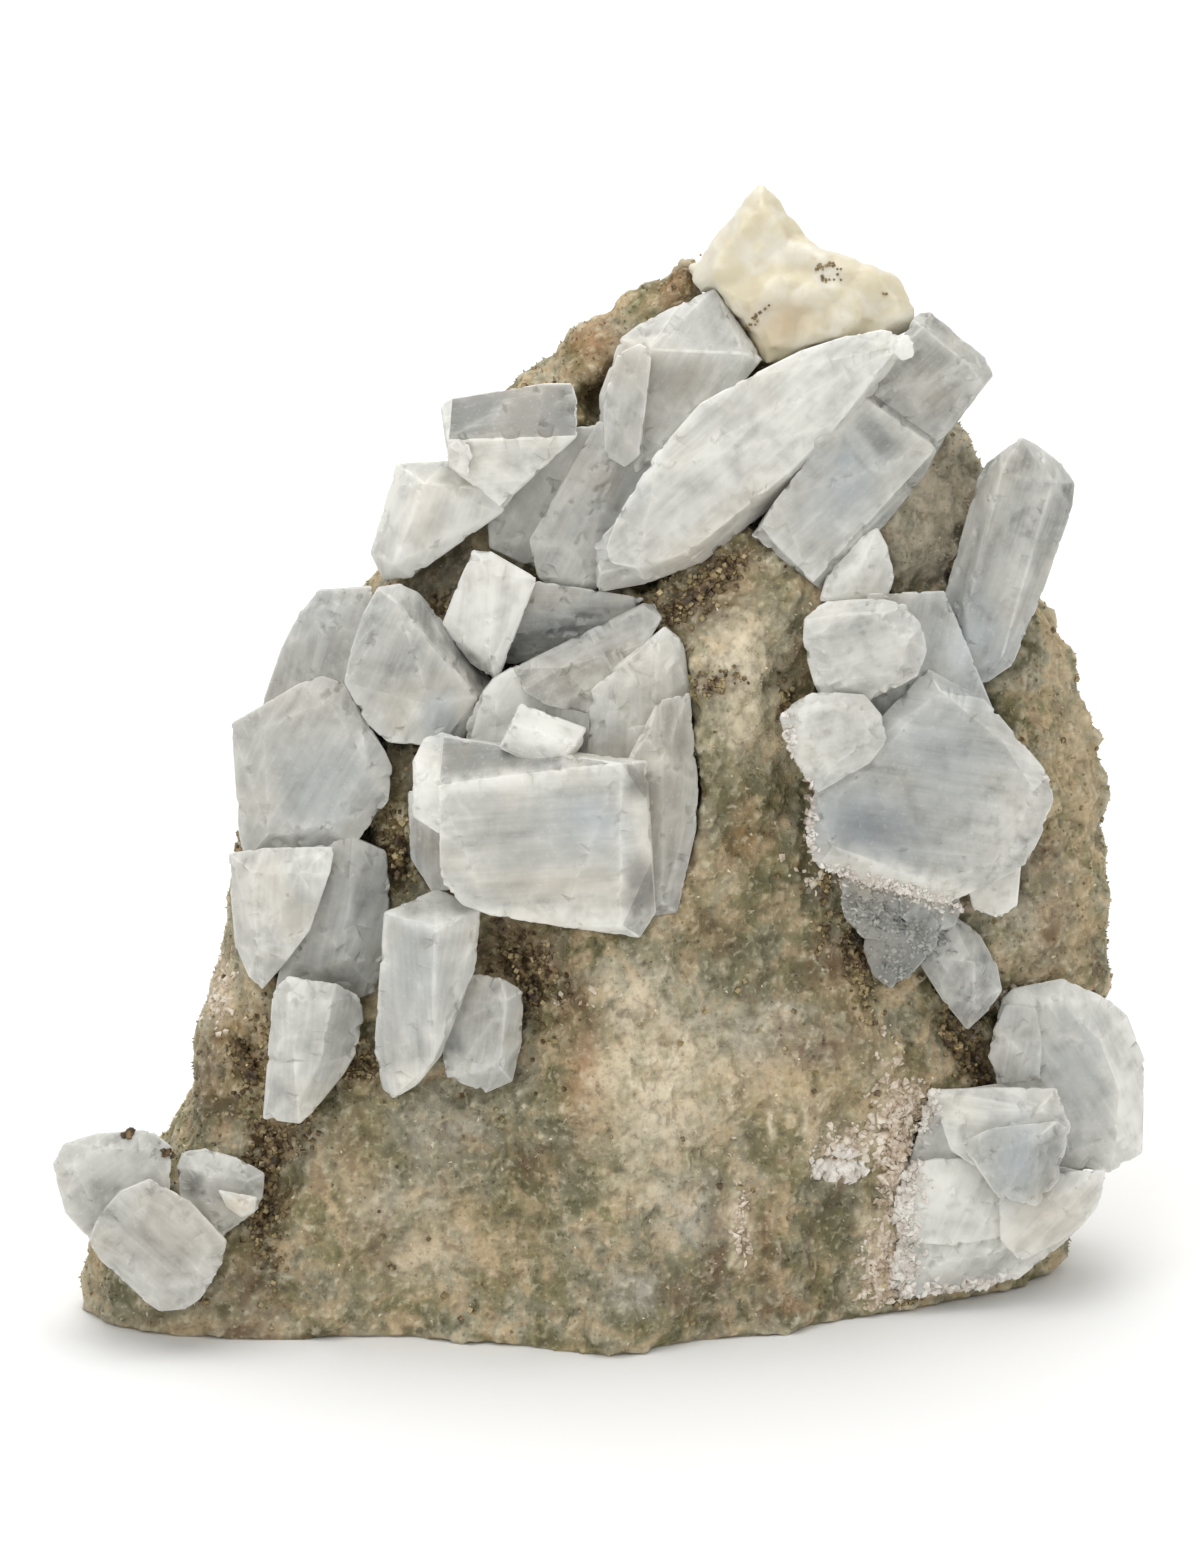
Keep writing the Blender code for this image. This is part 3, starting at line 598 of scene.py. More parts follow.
class FacetSkin(Skin):
    """A finely divided skin over flat faces that keeps their crisp edges.

    Attributes:
        facets: The flat faces.
        home: The facet of each point, or -1 for a point on an edge.
        inset: How far each point is from the rim of its facet, in mm.
        face_home: The facet of each small face.
    """

    def __init__(self, solid: BMesh, crystals: list[Crystal], fine: float,
                 coarse: float) -> None:
        """Divides a solid.

        Args:
            solid: The solid in mm, with the layers that Crystal.solid gives it. It is used up.
            crystals: The crystals that it was made of.
            fine: Distance between the points on the faces that the front view shows, in mm.
            coarse: The same for the other faces.
        """
        self.facets: list[Facet] = []
        front = {face: -face.normal.dot(VIEW.ahead) > FINE_FACING for face in solid.faces}
        step = {edge: fine if any(front[face] for face in edge.link_faces) else coarse
                for edge in solid.edges}
        groups: dict[int, list[BMEdge]] = {}
        for edge in solid.edges:
            groups.setdefault(math.ceil(edge.calc_length() / step[edge]) - 1, []).append(edge)
        steps = {face: fine if shown else coarse for face, shown in front.items()}
        for cuts, edges in sorted(groups.items(), key=lambda group: group[0]):
            if cuts > 0:
                bmesh.ops.bisect_edges(solid, edges=edges, cuts=cuts)
        in_order(solid)
        bm = bmesh.new()
        points = [bm.verts.new(vert.co) for vert in solid.verts]
        self.home = [-1] * len(points)
        self.inset = [0.0] * len(points)
        self.face_home: list[int] = []
        crystal_layer = solid.faces.layers.int["crystal"]
        worn_layer = solid.faces.layers.int["bevelled"]
        for number, face in enumerate(solid.faces):
            crystal = face[crystal_layer]
            facet = self.described(face, crystal, crystals[crystal].lines, bool(face[worn_layer]))
            self.facets.append(facet)
            corners = [points[vert.index] for vert in face.verts]
            rim = facet.flat(np.array([vert.co for vert in face.verts]))
            self.fill(bm, number, corners, rim, steps[face])
        self.home = np.array(self.home)
        self.inset = np.array(self.inset)
        self.face_home = np.array(self.face_home)
        mesh = bpy.data.meshes.new("skin")
        bm.to_mesh(mesh)
        bm.free()
        solid.free()
        super().__init__(mesh)

    @staticmethod
    def described(face: BMFace, crystal: int, lines: float, bevelled: bool) -> Facet:
        """Describes a face.

        Args:
            face: The face.
            crystal: The number of its crystal.
            lines: Direction of its growth lines in the front view, in degrees.
            bevelled: Whether the face is a worn edge.

        Returns:
            What the points on it need to know.
        """
        outward = face.normal.copy()
        turn = math.radians(lines)
        along = Vector((math.cos(turn), 0.0, 0.0)) + VIEW.up * math.sin(turn)
        along -= outward * along.dot(outward)
        end_on = 0.2
        if along.length < end_on:
            along = outward.orthogonal()
        along.normalize()
        return Facet(np.array(face.calc_center_median()), np.array(outward), np.array(along),
                     np.array(outward.cross(along)), crystal, bevelled)

    def fill(self, bm: BMesh, number: int, corners: list[BMVert],
             rim: Array, step: float) -> None:
        """Fills one face with small triangles.

        Args:
            bm: The mesh to add to.
            number: The number of the facet, which is the newest one.
            corners: The points of its rim, in order.
            rim: The same on the facet's plane.
            step: Distance between the points inside it, in mm.
        """
        facet = self.facets[number]
        rng = np.random.default_rng(number)
        low, high = rim.min(axis=0), rim.max(axis=0)
        rows = np.arange(low[1] + 0.5 * step, high[1], step * ROW_GAP)
        columns = np.arange(low[0] - step, high[0] + step, step)
        grid = np.stack(np.meshgrid(columns, rows), axis=2)
        grid[::2, :, 0] += 0.5 * step
        grid = grid.reshape(-1, 2) + rng.uniform(-STRAY, STRAY, (grid.size // 2, 2)) * step
        if len(grid):
            within, distance = inside(grid, rim)
            kept = within & (distance > RIM_GAP * step)
            grid, distance = grid[kept], distance[kept]
        else:
            distance = np.zeros(0)
        places = [Vector(place) for place in rim] + [Vector(place) for place in grid]
        flat, _, triangles, sources, _, _ = delaunay_2d_cdt(
            places, [], [list(range(len(rim)))], 1, 1e-6)
        made = []
        for place, source in zip(flat, sources):
            first = min(source) if source else -1
            if 0 <= first < len(corners):
                made.append(corners[first])
                continue
            point = facet.centre + facet.along * place[0] + facet.across * place[1]
            made.append(bm.verts.new(point))
            self.home.append(number)
            self.inset.append(float(distance[first - len(corners)]) if first >= 0 else 0.0)
        for triangle in triangles:
            trio = [made[index] for index in triangle]
            if len(set(trio)) == 3 and not bm.faces.get(trio):
                bm.faces.new(trio)
                self.face_home.append(number)

    def of_facets(self, name: str) -> Array:
        """Collects a value of all facets, one row each."""
        return np.array([getattr(facet, name) for facet in self.facets])

    def on_facets(self, places: Array, home: Array) -> list[Array]:
        """Gives how far places lie along and across their facets, in mm."""
        offset = places - self.of_facets("centre")[home]
        return [np.sum(offset * self.of_facets(way)[home], axis=1) for way in ("along", "across")]

    def lay_lines(self, name: str, places: Array) -> None:
        """Keeps where each corner is along and across its facet, in cm, with each facet apart.

        Args:
            name: Name of the map.
            places: The places of the points on the flat faces, in mm.
        """
        corner = np.empty(len(self.mesh.loops), np.int32)
        self.mesh.loops.foreach_get("vertex_index", corner)
        home = np.repeat(self.face_home, 3)
        along, across = self.on_facets(places[corner], home)
        apart = (home * 0.37) % 7.0
        layer = self.mesh.uv_layers.new(name=name)
        pairs = np.stack([along * 0.1 + apart, across * 0.1 + apart * 1.7], axis=1)
        layer.uv.foreach_set("vector", pairs.astype(np.float32).ravel())

    def write_faces(self, name: str, values: Array) -> None:
        """Keeps a value for each small face, which a material can read by name."""
        attribute = self.mesh.attributes.new(name, "FLOAT", "FACE")
        attribute.data.foreach_set("value", values.astype(np.float32))

    def crisp(self, name: str, angle: float) -> Object:
        """Finishes the mesh with its sharp edges kept.

        Args:
            name: Name of the object.
            angle: The least angle of a sharp edge, in radians.

        Returns:
            The object.
        """
        thing = self.finished(name)
        self.mesh.set_sharp_from_angle(angle=angle)
        return thing


Number = Union["Value", float]


class Value:
    """A number that a node gives, so that the maths of a finish reads as an expression."""

    def __init__(self, paint: "Paint", socket: NodeSocket) -> None:
        """Wraps a socket of a material."""
        self.paint = paint
        self.socket = socket

    def _with(self, operation: str, first: Number, second: Number = 0.0) -> "Value":
        """Adds one Math node."""
        node = self.paint.node("ShaderNodeMath", {"operation": operation}, {0: first, 1: second})
        return Value(self.paint, node.outputs[0])

    def __add__(self, other: Number) -> "Value":
        """Adds a number."""
        return self._with("ADD", self, other)

    __radd__ = __add__

    def __sub__(self, other: Number) -> "Value":
        """Takes a number away."""
        return self._with("SUBTRACT", self, other)

    def __rsub__(self, other: Number) -> "Value":
        """Takes this value away from a number."""
        return self._with("SUBTRACT", other, self)

    def __mul__(self, other: Number) -> "Value":
        """Multiplies by a number."""
        return self._with("MULTIPLY", self, other)

    __rmul__ = __mul__

    def ramp(self, low: float, high: float) -> "Value":
        """Rises smoothly from 0 at the low value to 1 at the high one."""
        node = self.paint.node(
            "ShaderNodeMapRange", {"interpolation_type": "SMOOTHSTEP"},
            {"Value": self, "From Min": low, "From Max": high, "To Min": 0.0, "To Max": 1.0})
        return Value(self.paint, node.outputs["Result"])

    def between(self, low: float, high: float) -> "Value":
        """Spreads a value of 0 to 1 over another range."""
        return self * (high - low) + low

    def clamped(self) -> "Value":
        """Keeps the value within 0 and 1."""
        node = self.paint.node("ShaderNodeClamp", {}, {"Value": self, "Min": 0.0, "Max": 1.0})
        return Value(self.paint, node.outputs[0])


Colour = tuple[float, float, float]


class Paint:
    """A material that is being made, with the few kinds of node that the finishes use."""

    def __init__(self, name: str) -> None:
        """Starts an empty material."""
        self.material = bpy.data.materials.new(name)
        self.material.use_nodes = True
        self.tree = self.material.node_tree
        self.tree.nodes.clear()
        self.output = self.node("ShaderNodeOutputMaterial")
        self.place = self.node("ShaderNodeTexCoord").outputs["Object"]

    def node(self, kind: str, settings: dict | None = None,
             inputs: dict | None = None) -> Node:
        """Adds a node.

        Args:
            kind: The node's type.
            settings: Its settings by name, which are set first.
            inputs: Values or links of its sockets, by name or number.

        Returns:
            The node.
        """
        node = self.tree.nodes.new(kind)
        for name, value in (settings or {}).items():
            setattr(node, name, value)
        for name, value in (inputs or {}).items():
            if isinstance(value, Value):
                value = value.socket
            if isinstance(value, NodeSocket):
                self.tree.links.new(value, node.inputs[name])
            else:
                node.inputs[name].default_value = value
        return node

    def soft(self, place: NodeSocket, scale: float, detail: float,
             distortion: float) -> Value:
        """Soft random values of 0 to 1 over a place of any kind."""
        node = self.node("ShaderNodeTexNoise", {}, {
            "Vector": place, "Scale": scale, "Detail": detail, "Distortion": distortion})
        return Value(self, node.outputs[0])

    def cloud(self, length: float, detail: float = 3.0, distortion: float = 0.0) -> Value:
        """Soft random values of 0 to 1 that change over a length in mm."""
        return self.soft(self.place, 1.0 / (length * MM), detail, distortion)

    def lines(self, across: float, along: float) -> Value:
        """Lines of growth over a crystal's face.

        Args:
            across: Width of the lines, in mm.
            along: Their length, in mm.

        Returns:
            A value of 0 to 1.
        """
        uv = self.node("ShaderNodeUVMap", {"uv_map": LINES}).outputs[0]
        pressed = self.node("ShaderNodeMapping", {"vector_type": "POINT"},
                            {"Vector": uv, "Scale": (10.0 / along, 10.0 / across, 1.0)})
        return self.soft(pressed.outputs[0], 1.0, 3.0, 0.15)

    def kept(self, name: str) -> Value:
        """A value that the mesh keeps for each of its points."""
        node = self.node("ShaderNodeAttribute", {"attribute_name": name})
        return Value(self, node.outputs["Fac"])

    def mix(self, share: Number, first: Colour | NodeSocket,
            second: Colour | NodeSocket) -> NodeSocket:
        """Mixes two colours.

        Args:
            share: How much of the second is taken, which is kept within 0 and 1.
            first: The first colour.
            second: The second colour.

        Returns:
            The mixed colour.
        """
        sides = [side if isinstance(side, NodeSocket) else (*side, 1.0)
                 for side in (first, second)]
        node = self.node("ShaderNodeMix", {"data_type": "RGBA"},
                         {0: share, 6: sides[0], 7: sides[1]})
        return node.outputs[2]

    def layers(self, colour: NodeSocket,
               *laid: tuple[Value, Colour]) -> NodeSocket:
        """Lays colours over one another, each with its share."""
        for share, over in laid:
            colour = self.mix(share, colour, over)
        return colour

    def bump(self, height: Value, depth: float, strength: float = 1.0,
             below: NodeSocket | None = None) -> NodeSocket:
        """Raises the surface where a value is high.

        Args:
            height: The value, from 0 to 1.
            depth: How high 1 stands, in mm.
            strength: Share of the effect.
            below: A rise that this one lies on.

        Returns:
            The direction of the raised surface.
        """
        inputs = {"Height": height, "Distance": depth * MM, "Strength": strength}
        if below:
            inputs["Normal"] = below
        return self.node("ShaderNodeBump", {}, inputs).outputs[0]

    def surface(self, **inputs: object) -> NodeSocket:
        """Adds a Principled shader, with each input given by its name with _ for the spaces."""
        named = {name.replace("_", " "): value for name, value in inputs.items()}
        return self.node("ShaderNodeBsdfPrincipled", {}, named).outputs[0]

    def finish(self, shader: NodeSocket,
               volume: NodeSocket | None = None) -> Material:
        """Links the shader, and what fills the solid, to the output.

        Args:
            shader: What the surface is.
            volume: What fills it, if anything.

        Returns:
            The material.
        """
        self.tree.links.new(shader, self.output.inputs["Surface"])
        if volume:
            self.tree.links.new(volume, self.output.inputs["Volume"])
        return self.material


def srgb(red: int, green: int, blue: int) -> Colour:
    """Turns a colour as a screen shows it, 0 to 255, into the linear one that shaders take."""
    shares = [part / 255.0 for part in (red, green, blue)]
    return tuple(share / 12.92 if share <= 0.04045 else ((share + 0.055) / 1.055) ** 2.4
                 for share in shares)


@dataclass(frozen=True)
class RockFinish:
    """Finely granular rock under a sparkling druse: mottled grey-green, olive, tan and brown."""

    grey_green: Colour = srgb(158, 152, 128)
    olive: Colour = srgb(130, 122, 82)
    deep_green: Colour = srgb(94, 91, 60)
    cream: Colour = srgb(226, 213, 186)
    tan: Colour = srgb(192, 170, 134)
    brown: Colour = srgb(102, 78, 50)
    rust: Colour = srgb(150, 106, 62)
    # shade: dark colour of the painted shade in hollows and crevices, and of dark grains
    shade: Colour = srgb(72, 64, 52)
    grey: Colour = srgb(192, 187, 174)
    # spark: pale colour of the glints, of the painted highlight on the bumps and of pale grains
    spark: Colour = srgb(236, 226, 200)
    name: str = "matrix_rock"

    def made(self) -> Material:
        """Makes the material."""
        paint = Paint(self.name)
        soft = paint.cloud(4.0, 3.0)
        medium = paint.cloud(2.2, 3.0, 0.6)
        blotch = paint.cloud(1.7, 2.0, 0.4)
        fine = paint.cloud(0.45, 3.0)
        broad = paint.cloud(9.0, 4.0, 0.8)
        behind = paint.kept("behind")
        colour = paint.layers(
            paint.mix(soft.ramp(0.38, 0.60), self.grey_green, self.olive),
            (medium.ramp(0.46, 0.66) * 0.85, self.tan),
            ((1.0 - medium).ramp(0.50, 0.68) * 0.90, self.deep_green),
            (broad.ramp(0.46, 0.60) * behind * 0.62, self.tan),
            ((1.0 - broad).ramp(0.46, 0.60) * behind * 0.62, self.olive))
        for tint in (Tint.GREEN, Tint.GREY, Tint.TAN, Tint.CREAM, Tint.RUST, Tint.BROWN, Tint.PAINTED_SHADE):
            share = paint.kept(tint.value) * blotch.ramp(0.32, 0.60).between(0.35, 1.0)
            colour = paint.mix(share.clamped(), colour, self.of(tint))
        veins = paint.cloud(2.6, 5.0, 1.2).ramp(0.56, 0.68)
        relief = paint.kept("relief")
        glint = paint.kept("glint")
        colour = paint.layers(
            colour,
            (veins * 0.38, self.brown),
            # Painted shade in the hollows and painted highlight on the bumps, from how far each point
            # stands out
            ((1.0 - relief).ramp(1.05, 1.9) * 0.50, self.shade),
            (relief.ramp(0.05, 0.9) * 0.36, self.spark),
            ((1.0 - fine).ramp(0.50, 0.70) * 0.26, self.shade),
            (fine.ramp(0.54, 0.72) * 0.26, self.spark),
            (glint.ramp(0.40, 1.1) * 0.85, self.spark),
            ((1.0 - glint).ramp(1.2, 2.2) * 0.4, self.shade))
        normal = paint.bump(fine, 0.16)
        normal = paint.bump(paint.cloud(0.14, 2.0), 0.06, 0.8, normal)
        shader = paint.surface(
            Base_Color=colour, Roughness=fine.between(0.45, 0.85), Normal=normal, IOR=1.5,
            Specular_IOR_Level=0.45)
        return paint.finish(shader)

    def of(self, tint: Tint) -> Colour:
        """The colour of a tint."""
        return {
            Tint.GREEN: self.deep_green, Tint.GREY: self.grey, Tint.TAN: self.tan,
            Tint.CREAM: self.cream, Tint.RUST: self.rust, Tint.BROWN: self.brown,
            Tint.PAINTED_SHADE: self.shade,
        }[tint]


@dataclass(frozen=True)
class BariteFinish:
    """Pale grey barite: milky veils and growth lines in clear crystal, with paler bevelled edges, partly
    abrasion and partly a painted highlight.
    """

    dark_window_and_shade: Colour = srgb(116, 118, 114)
    dark: Colour = srgb(136, 136, 130)
    grey: Colour = srgb(186, 186, 180)
    white: Colour = srgb(226, 225, 218)
    blue: Colour = srgb(160, 170, 177)
    warm: Colour = srgb(204, 192, 172)
    clear: Colour = srgb(214, 219, 221)
    absorbed: Colour = srgb(178, 184, 190)
    density: float = 60.0
    index: float = 1.636
    name: str = "barite"

    def made(self) -> Material:
        """Makes the material."""
        paint = Paint(self.name)
        broad = paint.lines(1.1, 9.0)
        thin = paint.lines(0.32, 4.0)
        soft = paint.cloud(3.4, 3.0, 0.6)
        curd = paint.cloud(1.1, 4.0, 0.3)
        fine = paint.cloud(0.30, 3.0)
        hue = paint.cloud(5.5, 2.0)
        kept = {tint: paint.kept(tint.value)
                for tint in (Tint.WHITE, Tint.CLEAR, Tint.BLUE, Tint.WARM, Tint.FROST, Tint.GREY)}
        bevelled = paint.kept("bevelled")
        # The rim term paints a glow along the rims of the faces
        tone = (paint.kept("tone") + (soft - 0.5) * 0.85 + (curd - 0.5) * 0.30 + (broad - 0.5) * 0.50
                + (thin - 0.5) * 0.24 + (paint.kept("rim") - 0.30) * 0.17).clamped()
        # The bevelled edges are a little paler, partly abrasion and partly a painted highlight
        pale = kept[Tint.WHITE] * curd.ramp(0.30, 0.60) * 0.6 + bevelled * 0.05
        pale += kept[Tint.FROST] * 0.22 + fine.ramp(0.56, 0.74) * 0.22
        colour = paint.layers(
            paint.mix(tone.ramp(0.0, 0.5), self.dark, self.grey),
            (tone.ramp(0.40, 1.0), self.white),
            (hue.ramp(0.45, 0.72) * 0.25, self.warm),
            # Dark see-through spots, and painted shade along gaps, in holes and on shaded facets
            ((kept[Tint.GREY] * broad.ramp(0.2, 0.6)).clamped(), self.dark_window_and_shade),
            ((kept[Tint.BLUE] * soft.ramp(0.2, 0.6) * 0.75).clamped(), self.blue),
            ((kept[Tint.WARM] * 0.7).clamped(), self.warm),
            (pale.clamped(), self.white))
        # The bevelled edges are milkier too, partly as a painted highlight
        milky = (0.80 + tone * 0.18 + bevelled * 0.15 + kept[Tint.FROST] * 0.6
                 - kept[Tint.CLEAR] * 0.30).clamped()
        normal = paint.bump(curd, 0.10, 0.6)
        normal = paint.bump(fine, 0.03, 0.8, normal)
        cloudy = paint.surface(
            Base_Color=colour, Roughness=(fine.between(0.34, 0.58) + kept[Tint.FROST] * 0.2).clamped(),
            Normal=normal, IOR=self.index, Specular_IOR_Level=0.35, Subsurface_Weight=0.55,
            Subsurface_Radius=(1.0, 1.0, 1.05), Subsurface_Scale=2.2 * MM)
        glassy = paint.surface(
            Base_Color=(*self.clear, 1.0), Roughness=0.22, Normal=normal, IOR=self.index,
            Transmission_Weight=1.0)
        volume = paint.node("ShaderNodeVolumeAbsorption", {},
                            {"Color": (*self.absorbed, 1.0), "Density": self.density}).outputs[0]
        mixed = paint.node("ShaderNodeMixShader", {}, {0: milky, 1: glassy, 2: cloudy})
        return paint.finish(mixed.outputs[0], volume)


@dataclass(frozen=True)
class CalciteFinish:
    """Cream-white calcite, rough and a little translucent, beige where it meets the crystals."""

    white: Colour = srgb(217, 212, 196)
    cream: Colour = srgb(208, 199, 172)
    beige: Colour = srgb(190, 170, 136)
    name: str = "calcite"

    def made(self) -> Material:
        """Makes the material."""
        paint = Paint(self.name)
        soft = paint.cloud(3.0, 4.0, 0.4)
        fine = paint.cloud(0.5, 3.0)
        colour = paint.layers(
            paint.mix(soft.ramp(0.38, 0.62), self.white, self.cream),
            ((paint.kept(Tint.WARM.value) * 0.9).clamped(), self.beige),
            ((1.0 - fine).ramp(0.55, 0.8) * 0.3, self.beige))
        normal = paint.bump(fine, 0.05, 0.7)
        shader = paint.surface(
            Base_Color=colour, Roughness=fine.between(0.35, 0.6), Normal=normal, IOR=1.6,
            Subsurface_Weight=0.5, Subsurface_Radius=(1.2, 1.0, 0.7), Subsurface_Scale=1.5 * MM)
        return paint.finish(shader)


@dataclass(frozen=True)
class PyriteFinish:
    """Brassy pyrite, dulled to brown in places."""

    name: str
    brass: Colour = srgb(170, 154, 116)
    dull: Colour = srgb(88, 70, 48)

    def made(self) -> Material:
        """Makes the material."""
        paint = Paint(self.name)
        tarnish = paint.cloud(0.8, 4.0)
        fine = paint.cloud(0.2, 2.0)
        colour = paint.mix(tarnish.ramp(0.40, 0.62), self.brass, self.dull)
        shader = paint.surface(
            Base_Color=colour, Metallic=(1.0 - tarnish).ramp(0.35, 0.65).between(0.1, 0.75),
            Roughness=fine.between(0.34, 0.60), Normal=paint.bump(fine, 0.03, 0.6))
        return paint.finish(shader)


@dataclass(frozen=True)
class DruseFinish:
    """Tiny glittering crystals in one pale or dark colour, each a little different."""

    name: str
    first: Colour
    second: Colour
    roughness: float = 0.5

    def made(self) -> Material:
        """Makes the material."""
        paint = Paint(self.name)
        shade = paint.cloud(0.9, 2.0)
        colour = paint.mix(shade.ramp(0.35, 0.65), self.first, self.second)
        shader = paint.surface(Base_Color=colour, Roughness=self.roughness, IOR=1.55)
        return paint.finish(shader)


Finishes = dict[str, Material]
FINISHES = (
    RockFinish(), BariteFinish(), CalciteFinish(), PyriteFinish("pyrite"),
    PyriteFinish("pyrite_crust", srgb(122, 102, 72), srgb(66, 54, 40)),
    DruseFinish("barite_chips", srgb(226, 216, 200), srgb(186, 168, 146)),
    DruseFinish("barite_fringe", srgb(228, 224, 216), srgb(202, 194, 184)),
    DruseFinish("barite_mass", srgb(176, 176, 170), srgb(138, 139, 132)),
    DruseFinish("crest_pyrite", srgb(150, 132, 92), srgb(104, 86, 56), 0.4),
)


